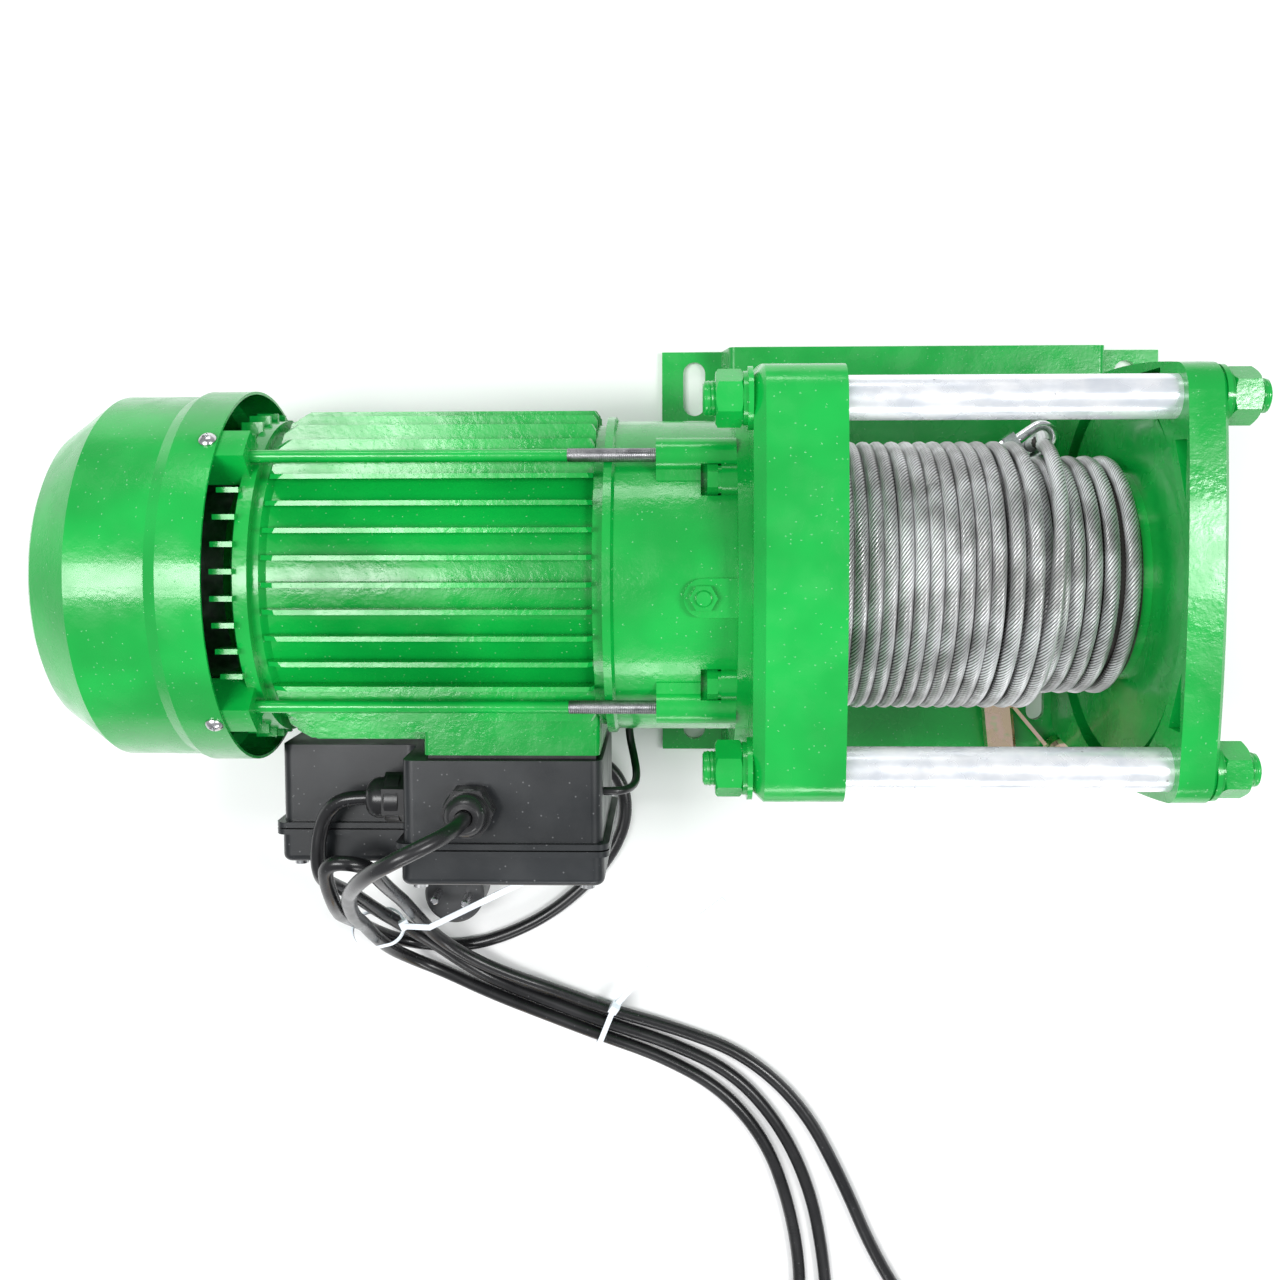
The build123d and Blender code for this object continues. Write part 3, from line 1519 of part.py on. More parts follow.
capacitor_radius = 16.0
capacitor_length = 80.0
capacitor_y = box_back - box_wall - capacitor_radius
with BuildPart() as capacitors:
    for left, height in ((wire_hole_x - 42, axis_height + 12), (box_left + 14, box_low + 28)):
        with BuildSketch(Plane(origin=(left, capacitor_y, height), z_dir=(1, 0, 0))):
            Circle(capacitor_radius)
        extrude(amount=capacitor_length)
write(capacitors.part, "capacitors")

with BuildPart() as terminal_block:
    with BuildSketch(box_plane(box_back - box_wall)):
        with Locations((wire_hole_x - 2, box_low + 20)):
            Rectangle(62, 18)
    extrude(amount=20)
    with BuildSketch(box_plane(box_back - box_wall - 12)):
        with Locations((wire_hole_x - 2, box_low + 20)):
            with GridLocations(12, 1, 5, 1):
                Circle(3.4)
    extrude(amount=8, mode=Mode.SUBTRACT)
write(terminal_block.part, "terminal_block")

# Cable glands: a hexagon body with its lock nut inside the box, and a domed clamping nut
gland_hex_length = 5.0
gland_dome_length = 18.0
gland_collar = 7.0
gland_rim = 8.6
gland_shoulder = 12.5
gland_mouth = cord_radius + 0.6
seal_setback = 4.0
lock_nut = 4.0
gland_planes = [
    Plane(origin=(box_step, side_gland_y, side_gland_z), x_dir=(0, 1, 0), z_dir=(-1, 0, 0)),
    Plane(origin=(top_gland_x, side_gland_y, box_high), x_dir=(1, 0, 0), z_dir=(0, 0, 1)),
]
with BuildPart() as gland_bodies:
    for place in gland_planes:
        with BuildSketch(place):
            RegularPolygon(hexagon_radius(gland_flats), 6)
        extrude(amount=gland_hex_length)
        with BuildSketch(place.offset(-box_wall - lock_nut - 1)):
            Circle(gland_thread)
        extrude(amount=box_wall + lock_nut + 1)
        with BuildSketch(place.offset(-box_wall - lock_nut)):
            RegularPolygon(hexagon_radius(gland_flats), 6)
        extrude(amount=lock_nut)
        with BuildSketch(place.offset(gland_hex_length)):
            Circle(cord_radius + 2)
        extrude(amount=gland_dome_length - seal_setback)
        with BuildSketch(place.offset(-box_wall - lock_nut - 1)):
            Circle(cord_radius)
        extrude(amount=box_wall + lock_nut, mode=Mode.SUBTRACT)
write(gland_bodies.part, "gland_bodies")

with BuildPart() as gland_nut:
    with BuildSketch():
        RegularPolygon(hexagon_radius(gland_flats), 6)
    extrude(amount=gland_rim)
    with BuildSketch(Plane.XZ):
        with BuildLine():
            Line((0, 0), (gland_flats / 2 + 0.9, 0))
            Line((gland_flats / 2 + 0.9, 0), (gland_flats / 2 + 0.9, gland_collar))
            Line((gland_flats / 2 + 0.9, gland_collar), (gland_flats / 2 - 0.8, gland_rim))
            Line((gland_flats / 2 - 0.8, gland_rim), (gland_flats / 2 - 1.0, gland_shoulder))
            ThreePointArc(
                (gland_flats / 2 - 1.0, gland_shoulder),
                (9.6, (gland_shoulder + gland_dome_length) / 2 + 0.8),
                (7.4, gland_dome_length),
            )
            Line((7.4, gland_dome_length), (0, gland_dome_length))
            Line((0, gland_dome_length), (0, 0))
        make_face()
    revolve(axis=Axis.Z)
    with BuildSketch():
        Circle(gland_mouth + 1.7)
    extrude(amount=gland_dome_length - seal_setback, mode=Mode.SUBTRACT)
    with BuildSketch():
        Circle(gland_mouth)
    extrude(amount=gland_dome_length, mode=Mode.SUBTRACT)

with BuildPart() as gland_nuts:
    for place in gland_planes:
        with Locations(place.offset(gland_hex_length)):
            add(gland_nut.part)
write(gland_nuts.part, "gland_nuts")

# Free leads: straight runs joined by arcs. The floor is at z = 0.
on_floor = cord_radius
under_tie = cord_radius + 2.2
control_route = [
    (-255, -126, 202),
    (-255, -126, 216),
    (-258, -127.5, 229),
    (-268, -131, 240),
    (-283, -138, 243),
    (-298, -148, 231),
    (-311, -161, 207),
    (-323, -178, 172),
    (-330, -200, 132),
    (-335, -216, 92),
    (-337, -236, 56),
    (-333, -254, 28),
    (-320, -268, 10),
    (-303, -277, on_floor),
    (-271, -292, on_floor),
    (-235, -306, on_floor),
    (-197, -319.5, under_tie),
    (-158, -334, on_floor),
    (-118, -356, on_floor),
    (-89, -391, on_floor),
    (-74, -432, on_floor),
    (-66, -475, on_floor),
    (-66, -514, on_floor),
    (-78.5, -548.5, on_floor),
]
mains_route = [
    (-310, -126, 158),
    (-322, -126, 158),
    (-333, -129.5, 156),
    (-341, -140, 152),
    (-344.5, -157, 151.5),
    (-344.5, -173, 147.5),
    (-343.5, -184, 125),
    (-340, -199, 92),
    (-333, -221, 56),
    (-321, -241, 27),
    (-305, -255, 16.5),
    (-288, -270, 9.5),
    (-268, -283.5, on_floor),
    (-232, -297.5, on_floor),
    (-194, -311, under_tie),
    (-152, -325, on_floor),
    (-110, -345, on_floor),
    (-79, -381, on_floor),
    (-59, -425, on_floor),
    (-50, -473, on_floor),
    (-47, -515, on_floor),
    (-53, -552, on_floor),
    (-46, -588, on_floor),
    (-18, -610, on_floor),
    (18, -604, on_floor),
    (38, -573, on_floor),
    (30, -537, on_floor),
    (6, -506, on_floor),
    (-18, -466, on_floor),
    (-38, -418, on_floor),
    (-64, -368, on_floor),
    (-103, -332, on_floor),
    (-149, -315, on_floor),
    (-191, -302.5, under_tie),
    (-228.5, -289, 6),
    (-258, -277, 11.5),
    (-283, -264, 16.5),
    (-303, -247, 26),
    (-311, -226, 49),
    (-312.5, -206, 82),
    (-312, -190, 116),
    (-311.5, -175, 146),
    (-312.5, -165, 162),
    (-315, -160.5, 169.5),
    (-321.5, -158, 173.5),
    (-329.5, -158, 173.5),
    (-335, -162, 170),
    (-337, -171, 162),
    (-337.5, -187, 147),
    (-340.5, -201, 123),
    (-345, -213, 92),
    (-346, -228, 56),
    (-342, -244, 25),
    (-331, -255, 8.5),
    (-312, -259.5, on_floor),
    (-285, -260, on_floor),
    (-258, -252, on_floor),
    (-231, -238, on_floor),
    (-207, -218, on_floor),
    (-189, -196, on_floor),
    (-180, -172, on_floor),
    (-184, -147, on_floor),
    (-204, -131, on_floor),
    (-229, -139, 7),
    (-251, -161, 10),
    (-265, -181, 10),
]
tail_route = [
    (-177, -566, on_floor),
    (-179, -550, on_floor),
    (-186, -537, 6.5),
    (-198, -530, 9),
    (-209, -530, 9),
]


def lay_tube(name, points, diameter):
    """Sweeps a lead's tube along a route and reports its radii and its volume."""
    with BuildPart() as tube:
        with BuildLine() as path:
            FilletPolyline(*points, radius=route_radii(points))
        with BuildSketch(path.line ^ 0):
            Circle(diameter / 2)
        sweep()
    report_route(name, points, diameter, tube.part.volume, path.wire().length)
    return tube.part


control_tube = lay_tube("control_cord", control_route, cord_diameter)
tail_tube = lay_tube("control_tail", tail_route, cord_diameter)
write(Compound([control_tube, tail_tube]), "control_cord")
write(lay_tube("mains_cord", mains_route, cord_diameter), "mains_cord")

coil_centre = (-125.0, -575.0)
with BuildPart() as control_coil:
    with BuildSketch():
        with Locations(coil_centre):
            Circle(coil_mean_radius + cord_diameter * coil_turns_wide / 2)
            Circle(coil_mean_radius - cord_diameter * coil_turns_wide / 2, mode=Mode.SUBTRACT)
    extrude(amount=cord_diameter)
write(control_coil.part, "control_coil")

# Angled plug on its back, with its pins up
plug_centre = (-290.0, -217.0)
plug_way = Vector(25, 36, 0).normalized()
relief_start = 17.0
relief_height = 10.0
relief_length = hypot(mains_route[-1][0] - plug_centre[0], mains_route[-1][1] - plug_centre[1])
pin_way = Vector(0.995, -0.098, 0)
with BuildPart() as plug_body:
    with BuildSketch():
        with Locations(plug_centre):
            Circle(plug_radius)
    extrude(amount=plug_height)
    chamfer(plug_body.edges().filter_by(GeomType.CIRCLE), 1.5)
    relief_plane = Plane(
        origin=(
            plug_centre[0] + relief_start * plug_way.X,
            plug_centre[1] + relief_start * plug_way.Y,
            relief_height,
        ),
        z_dir=plug_way,
    )
    with BuildSketch(relief_plane):
        Circle(8.6)
    with BuildSketch(relief_plane.offset(relief_length - relief_start)):
        Circle(cord_radius + 1.0)
    loft()
write(plug_body.part, "plug_body")

with BuildPart() as plug_pins:
    with BuildSketch(Plane.XY.offset(plug_height)):
        for side in (-1, 1):
            with Locations(
                (
                    plug_centre[0] + side * pin_way.X * pin_pitch / 2,
                    plug_centre[1] + side * pin_way.Y * pin_pitch / 2,
                )
            ):
                Circle(pin_radius)
    extrude(amount=pin_length)
    chamfer(plug_pins.faces().sort_by(Axis.Z)[-2:].edges(), 0.8)
write(plug_pins.part, "plug_pins")

# Pendant control: case with its strain relief, two push buttons and an emergency stop
pendant_end = (-234.0, -530.0)
pendant_length = 116.0
pendant_width = 46.0
pendant_height = 26.0
pendant_relief = 25.0
button_radius = 8.0
button_gap = 0.3
button_travel = 3.0
button_proud = 4.5
button_pocket = 14.0
stop_stem = 6.0
stop_radius = 14.0
stop_travel = 4.0
pendant_plane = Plane(origin=(*pendant_end, 0), x_dir=(-1, 0, 0), z_dir=(0, 0, 1))
down_place = (28.0, 0)
up_place = (54.0, 0)
stop_place = (88.0, 0)
with BuildPart() as pendant_case:
    with BuildSketch(pendant_plane):
        with Locations((pendant_length / 2, 0)):
            RectangleRounded(pendant_length, pendant_width, 9)
    extrude(amount=pendant_height)
    chamfer(pendant_case.faces().sort_by(Axis.Z)[-1].edges(), 3.0)
    case_relief = Plane(origin=(pendant_end[0] - 2, pendant_end[1], 9), z_dir=(1, 0, 0))
    with BuildSketch(case_relief):
        Circle(8.6)
    with BuildSketch(case_relief.offset(pendant_relief + 2)):
        Circle(cord_radius + 1.0)
    loft()
    with BuildSketch(pendant_plane.offset(pendant_height)):
        with Locations(down_place, up_place):
            Circle(button_radius + button_gap)
        with Locations(stop_place):
            Circle(stop_stem + button_gap)
    extrude(amount=-button_pocket, mode=Mode.SUBTRACT)
write(pendant_case.part, "pendant_case")

button_bottom = pendant_height - button_pocket + button_travel + 1.5
for name, place in (("down_button", down_place), ("up_button", up_place)):
    with BuildPart() as button:
        with BuildSketch(pendant_plane.offset(button_bottom)):
            with Locations(place):
                Circle(button_radius)
        extrude(amount=pendant_height + button_proud - button_bottom)
        fillet(button.faces().sort_by(Axis.Z)[-1].edges(), 1.5)
    write(button.part, name)

stop_bottom = pendant_height - button_pocket + stop_travel + 1.0
stop_gap = stop_travel + 1.0
with BuildPart() as stop_button:
    with BuildSketch(pendant_plane.offset(stop_bottom)):
        with Locations(stop_place):
            Circle(stop_stem)
    extrude(amount=pendant_height + stop_gap - stop_bottom)
    with BuildSketch(pendant_plane.offset(pendant_height + stop_gap)):
        with Locations(stop_place):
            Circle(stop_radius)
    extrude(amount=7)
    fillet(stop_button.faces().sort_by(Axis.Z)[-1].edges(), 3.0)
write(stop_button.part, "stop_button")

# Cable ties: a band round the leads, a head and the free end of the strip
tie_width = 3.6
tie_sheet = 1.2
tie_head = 5.6


def strip(start, end, width, thickness):
    """Adds a straight flat strip between two points."""
    way = Vector(*end) - Vector(*start)
    with BuildSketch(Plane(origin=start, x_dir=way.cross(Vector(0, 0, 1)), z_dir=way)) as section:
        Rectangle(width, thickness)
    extrude(section.sketch, amount=way.length)


def band(plane, length, height):
    """Adds a rounded band with its middle at a plane's origin."""
    with BuildSketch(plane.offset(-tie_width / 2)) as ring:
        SlotOverall(length + 2 * tie_sheet, height + 2 * tie_sheet)
        SlotOverall(length, height, mode=Mode.SUBTRACT)
    extrude(ring.sketch, amount=tie_width)


with BuildPart() as cable_ties:
    band(
        Plane(origin=(-335.5, -234.6, 48.3), x_dir=(0.973, 0.206, -0.11), z_dir=(0, -0.47, -0.883)),
        31.5,
        21.5,
    )
    strip((-319.5, -231.5, 46.5), (-317.5, -230.5, 55), tie_head, tie_head)
    strip((-318.5, -231, 54), (-300, -229, 62), tie_width, tie_sheet)
    strip((-301, -229.3, 61.7), (-240, -194, 84), tie_width, tie_sheet)
    band(
        Plane(origin=(-194, -311, 5.9), x_dir=(0.37, 0.93, 0), z_dir=(0.93, -0.37, 0)), 27.6, 9.2
    )
    strip((-190, -300, 12.8), (-187, -294, 17.8), tie_head, tie_head)
    strip((-188, -295.5, 16.5), (-140, -237, 30), tie_width, tie_sheet)
    strip((-141, -238, 29.6), (-118, -217, 40), tie_width, tie_sheet)
write(cable_ties.part, "cable_ties")

# Motor leads from the gearbox housing's wall into the side of the terminal box
leads_route = [
    (-175, -88.9, 121.4),
    (-174.5, -99, 119.6),
    (-172, -109, 124),
    (-170, -116, 136),
    (-170, -119, 150),
    (-173, -120, 162),
    (-179, -120, 168),
    (box_right, -120, 168),
]
write(lay_tube("motor_leads", leads_route, 2 * lead_radius), "motor_leads")
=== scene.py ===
"""Electric wire rope winch: finishes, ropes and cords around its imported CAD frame.

All lengths are in metres in the frame's own axes: +X runs from the motor to the drum's end
plate, +Z is up and the floor is z = 0.
"""

import logging
import math
from dataclasses import dataclass
from enum import Enum
from typing import Optional, Sequence, Union

import bpy
import numpy as np
from mathutils import Matrix, Vector


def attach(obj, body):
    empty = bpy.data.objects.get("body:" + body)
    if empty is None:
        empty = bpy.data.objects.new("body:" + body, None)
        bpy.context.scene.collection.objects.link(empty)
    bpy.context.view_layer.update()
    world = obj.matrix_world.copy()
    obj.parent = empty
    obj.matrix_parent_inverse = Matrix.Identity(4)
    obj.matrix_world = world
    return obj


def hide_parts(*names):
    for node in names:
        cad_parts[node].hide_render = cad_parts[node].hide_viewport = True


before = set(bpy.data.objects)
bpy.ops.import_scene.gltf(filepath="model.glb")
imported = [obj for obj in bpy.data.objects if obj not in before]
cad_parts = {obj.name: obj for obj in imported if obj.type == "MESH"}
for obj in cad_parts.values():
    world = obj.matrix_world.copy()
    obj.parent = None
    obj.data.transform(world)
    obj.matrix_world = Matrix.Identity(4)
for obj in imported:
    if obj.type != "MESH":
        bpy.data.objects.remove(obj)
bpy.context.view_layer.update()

LOG = logging.getLogger("winch")
MM = 0.001
AXIS_Y = -7.2 * MM
AXIS_Z = 138.0 * MM

# Heights of a lead's middle in millimetres: lying on the floor, and lying in a cable tie
FLOOR = 4.1
TIED = 6.3

Colour = tuple[float, float, float]
Number = Union["Signal", float]
Tint = Union[Colour, bpy.types.NodeSocket]


class Noise(Enum):
    """The patterns that a finish can be broken up with."""

    CLOUD = "ShaderNodeTexNoise"
    CELL = "ShaderNodeTexVoronoi"


class Signal:
    """One value in a material, so that shader maths reads as a formula."""

    def __init__(self, tree: bpy.types.NodeTree, socket: bpy.types.NodeSocket) -> None:
        """Wraps a socket.

        Args:
            tree: The node tree that the socket is in.
            socket: An output socket that carries a value.
        """
        self.tree = tree
        self.socket = socket

    def maths(self, operation: str, *values: Number) -> "Signal":
        """Adds one Math node.

        Args:
            operation: The Math node's operation.
            values: Its inputs, in order.

        Returns:
            The node's result.
        """
        node = self.tree.nodes.new("ShaderNodeMath")
        node.operation = operation
        for slot, value in zip(node.inputs, values):
            if isinstance(value, Signal):
                self.tree.links.new(value.socket, slot)
            else:
                slot.default_value = value
        return Signal(self.tree, node.outputs[0])

    def __add__(self, other: Number) -> "Signal":
        """Sum."""
        return self.maths("ADD", self, other)

    def __mul__(self, other: Number) -> "Signal":
        """Product."""
        return self.maths("MULTIPLY", self, other)

    def __rsub__(self, other: Number) -> "Signal":
        """Difference from a number."""
        return self.maths("SUBTRACT", other, self)

    def __truediv__(self, other: Number) -> "Signal":
        """Quotient."""
        return self.maths("DIVIDE", self, other)

    def __gt__(self, other: Number) -> "Signal":
        """One where this value is above the other, zero elsewhere."""
        return self.maths("GREATER_THAN", self, other)

    def sine(self) -> "Signal":
        """Sine of a value in radians."""
        return self.maths("SINE", self)

    def size(self) -> "Signal":
        """Value without its sign."""
        return self.maths("ABSOLUTE", self)

    def ramp(self, low: float, high: float, start: float = 0.0, end: float = 1.0) -> "Signal":
        """Smooth step from start to end as the value goes from low to high.

        Args:
            low: The value at which the step starts.
            high: The value at which it ends.
            start: The result up to low.
            end: The result from high on.

        Returns:
            The stepped value.
        """
        node = self.tree.nodes.new("ShaderNodeMapRange")
        node.interpolation_type = "SMOOTHSTEP"
        self.tree.links.new(self.socket, node.inputs[0])
        for index, value in enumerate((low, high, start, end), start=1):
            node.inputs[index].default_value = value
        return Signal(self.tree, node.outputs[0])


class Surface:
    """A material while it is being made: its tree, its shader and the patterns it can use."""

    def __init__(self, name: str) -> None:
        """Starts a material with one Principled shader.

        Args:
            name: The material's name.
        """
        self.material = bpy.data.materials.new(name)
        self.material.use_nodes = True
        self.tree = self.material.node_tree
        self.shader = self.tree.nodes["Principled BSDF"]

    def node(
        self,
        kind: str,
        settings: Optional[dict] = None,
        inputs: Optional[dict] = None,
    ) -> bpy.types.Node:
        """Adds a node of any type.

        Args:
            kind: The node's type.
            settings: Its own settings, which are set first.
            inputs: The value, Signal or socket of each input, by the input's name or number.

        Returns:
            The new node.
        """
        node = self.tree.nodes.new(kind)
        for key, value in (settings or {}).items():
            setattr(node, key, value)
        for key, value in (inputs or {}).items():
            self.fill(node.inputs[key], value)
        return node

    def fill(self, slot: bpy.types.NodeSocket, value: Union[Number, Tint, Sequence]) -> None:
        """Links a Signal or a socket to an input, or sets its value.

        Args:
            slot: The input.
            value: What it takes: a number, vector, colour, Signal or socket.
        """
        if isinstance(value, Signal):
            self.tree.links.new(value.socket, slot)
        elif isinstance(value, bpy.types.NodeSocket):
            self.tree.links.new(value, slot)
        elif slot.type == "RGBA":
            slot.default_value = (*value[:3], 1.0)
        else:
            slot.default_value = value

    def place(
        self, stretch: Sequence[float] = (1, 1, 1), source: str = "Object"
    ) -> bpy.types.NodeSocket:
        """Coordinates of the surface, stretched.

        Args:
            stretch: The factor on each axis.
            source: Object, or UV on a piece that has its own map.

        Returns:
            The vector socket.
        """
        spot = self.node("ShaderNodeTexCoord").outputs[source]
        return self.node("ShaderNodeMapping", None, {"Vector": spot, "Scale": stretch}).outputs[0]

    def cloud(
        self,
        scale: float,
        detail: float = 2.0,
        stretch: Sequence[float] = (1, 1, 1),
        rough: float = 0.5,
    ) -> Signal:
        """Soft noise about 0.5.

        Args:
            scale: Features per metre.
            detail: How many finer octaves it has.
            stretch: The factor on each axis.
            rough: How strong the finer octaves are.

        Returns:
            The noise.
        """
        inputs = {
            "Vector": self.place(stretch),
            "Scale": scale,
            "Detail": detail,
            "Roughness": rough,
        }
        return Signal(self.tree, self.node(Noise.CLOUD.value, None, inputs).outputs[0])

    def specks(self, scale: float, radius: float, share: float) -> Signal:
        """Scattered round specks: one in the middle of some of the cells of a cell pattern.

        Args:
            scale: Cells per metre.
            radius: A speck's radius as a share of its cell.
            share: The share of the cells that have one.

        Returns:
            One in a speck, zero elsewhere.
        """
        cell = self.node(Noise.CELL.value, None, {"Vector": self.place(), "Scale": scale})
        split = self.node("ShaderNodeSeparateColor", None, {"Color": cell.outputs["Color"]})
        distance = Signal(self.tree, cell.outputs["Distance"])
        chosen = Signal(self.tree, split.outputs[0]) > 1 - share
        return distance.ramp(radius * 0.4, radius, 1.0, 0.0) * chosen

    def mix(self, factor: Number, first: Tint, second: Tint) -> bpy.types.NodeSocket:
        """Mixes two colours.

        Args:
            factor: Zero for the first, one for the second.
            first: A colour or a colour socket.
            second: A colour or a colour socket.

        Returns:
            The colour socket.
        """
        values = {0: factor, 6: first, 7: second}
        return self.node("ShaderNodeMix", {"data_type": "RGBA"}, values).outputs[2]

    def relief(self, height: Signal, depth: float, strength: float = 1.0) -> None:
        """Bumps the surface.

        Args:
            height: The height, from zero to one.
            depth: What one stands for, in metres.
            strength: How strongly it shows.
        """
        inputs = {"Height": height, "Distance": depth, "Strength": strength}
        self.put("Normal", self.node("ShaderNodeBump", None, inputs).outputs[0])

    def put(self, name: str, value: Union[Number, Tint]) -> None:
        """Sets one input of the shader.

        Args:
            name: The input's name.
            value: A number, colour, Signal or socket.
        """
        self.fill(self.shader.inputs[name], value)


@dataclass(frozen=True)
class Paint:
    """Glossy green enamel, with orange peel, nibs of dust and the grain of what is under it."""

    name: str
    grain: float = 0.25
    base: Colour = (0.004, 0.44, 0.060)
    shade: Colour = (0.002, 0.31, 0.040)
    dust: Colour = (0.28, 0.68, 0.36)

    def build(self) -> bpy.types.Material:
        """Makes the material.

        Returns:
            The material.
        """
        look = Surface(self.name)
        patches = look.cloud(14.0, 3.0)
        nibs = look.specks(420.0, 0.22, 0.22)
        colour = look.mix(patches.ramp(0.35, 0.7), self.shade, self.base)
        look.put("Base Color", look.mix(nibs * 0.40, colour, self.dust))
        look.put("Roughness", look.cloud(60.0, 2.0).ramp(0.3, 0.75, 0.16, 0.34))
        look.put("Coat Weight", 0.25)
        look.put("Coat Roughness", 0.06)
        peel = look.cloud(420.0, 2.0)
        cast = look.cloud(170.0, 4.0, rough=0.6)
        look.relief(peel * 0.35 + cast * self.grain * 2.0 + nibs * 0.6, 0.35 * MM, 0.7)
        return look.material


@dataclass(frozen=True)
class Metal:
    """Bare or plated metal with drawn streaks, clouds of tarnish and specks of dirt."""

    name: str
    light: Colour
    dark: Colour
    gloss: float = 0.28
    streaks: tuple[float, float, float] = (1, 1, 1)
    streak_scale: float = 160.0
    metallic: float = 1.0
    relief: float = 0.05

    def build(self) -> bpy.types.Material:
        """Makes the material.

        Returns:
            The material.
        """
        look = Surface(self.name)
        streak = look.cloud(self.streak_scale, 3.0, self.streaks)
        bloom = look.cloud(55.0, 3.0, rough=0.6)
        tone = (streak * 0.6 + bloom * 0.4).ramp(0.32, 0.66)
        dirt = look.specks(180.0, 0.16, 0.12)
        colour = look.mix(tone, self.dark, self.light)
        look.put("Base Color", look.mix(dirt * 0.5, colour, (0.12, 0.11, 0.10)))
        look.put("Metallic", self.metallic)
        look.put("Roughness", bloom.ramp(0.3, 0.7, self.gloss * 0.8, self.gloss * 1.4))
        look.relief(streak, self.relief * MM, 0.6)
        return look.material


@dataclass(frozen=True)
class Iridescent:
    """Yellow zinc plating on the hook, with its pink and green bloom and a paint mark."""

    name: str
    mark: tuple[float, float, float]

    def build(self) -> bpy.types.Material:
        """Makes the material.

        Returns:
            The material.
        """
        look = Surface(self.name)
        bloom = look.cloud(90.0, 2.0)
        gold = look.mix(bloom.ramp(0.35, 0.65), (0.86, 0.68, 0.46), (0.86, 0.62, 0.52))
        tinted = look.mix(look.cloud(160.0, 1.0).ramp(0.55, 0.75), gold, (0.62, 0.66, 0.40))
        spot = look.place()
        away = look.node(
            "ShaderNodeVectorMath", {"operation": "DISTANCE"}, {0: spot, 1: self.mark}
        )
        near = Signal(look.tree, away.outputs["Value"]).ramp(6 * MM, 11 * MM, 1.0, 0.0)
        worn = near * look.cloud(300.0, 3.0).ramp(0.40, 0.55)
        look.put("Base Color", look.mix(worn, tinted, (0.62, 0.10, 0.14)))
        look.put("Metallic", 1.0 - worn)
        look.put("Roughness", bloom.ramp(0.3, 0.7, 0.2, 0.36))
        look.relief(look.cloud(500.0, 3.0), 0.06 * MM, 0.5)
        return look.material


@dataclass(frozen=True)
class Moulded:
    """Plastic or rubber: a fine moulded grain, a soft change of gloss and dust on it."""

    name: str
    base: Colour
    gloss: float = 0.4
    dust: float = 0.4
    grain: float = 0.04
    grain_scale: float = 900.0
    sheen: Colour = (0.35, 0.35, 0.36)

    def build(self) -> bpy.types.Material:
        """Makes the material.

        Returns:
            The material.
        """
        look = Surface(self.name)
        paler = tuple(channel * 1.35 + 0.006 for channel in self.base)
        tone = look.mix(look.cloud(30.0, 3.0).ramp(0.35, 0.7), self.base, paler)
        grit = look.specks(330.0, 0.2, 0.22)
        look.put("Base Color", look.mix(grit * self.dust, tone, self.sheen))
        shine = look.cloud(45.0, 3.0).ramp(0.3, 0.7, self.gloss * 0.85, self.gloss * 1.2)
        look.put("Roughness", shine)
        look.relief(look.cloud(self.grain_scale, 2.0) + grit * 0.5, self.grain * MM, 0.5)
        return look.material


@dataclass(frozen=True)
class Strands:
    """Galvanised rope wire: fine wires along each strand, and painted shade that darkens the grooves
    between strands while the crests keep the clean metal colour.
    """

    name: str
    strands: int = 12
    wire_pitch: float = 2.6 * MM

    def build(self) -> bpy.types.Material:
        """Makes the material. The piece's own map runs along the rope and around it.

        Returns:
            The material.
        """
        look = Surface(self.name)
        split = look.node("ShaderNodeSeparateXYZ", None, {"Vector": look.place(source="UV")})
        along = Signal(look.tree, split.outputs[0])
        round_it = Signal(look.tree, split.outputs[1])
        wires = ((along / self.wire_pitch + round_it * (4.0 * self.strands)) * math.tau).sine()
        crest_vs_groove_shade = ((round_it * self.strands) * math.pi).sine().size()
        bloom = look.cloud(35.0, 3.0, rough=0.6)
        clean = look.mix(bloom.ramp(0.35, 0.68), (0.42, 0.42, 0.42), (0.80, 0.81, 0.82))
        # Painted shade: the colour goes to near black in the grooves between strands and to the clean
        # metal colour on the crests.
        look.put("Base Color", look.mix(crest_vs_groove_shade.ramp(0.1, 0.75), (0.07, 0.065, 0.06), clean))
        look.put("Metallic", 0.65)
        look.put("Roughness", bloom.ramp(0.3, 0.7, 0.34, 0.48))
        look.relief(wires * 0.5 + 0.5, 0.045 * MM, 0.7)
        return look.material


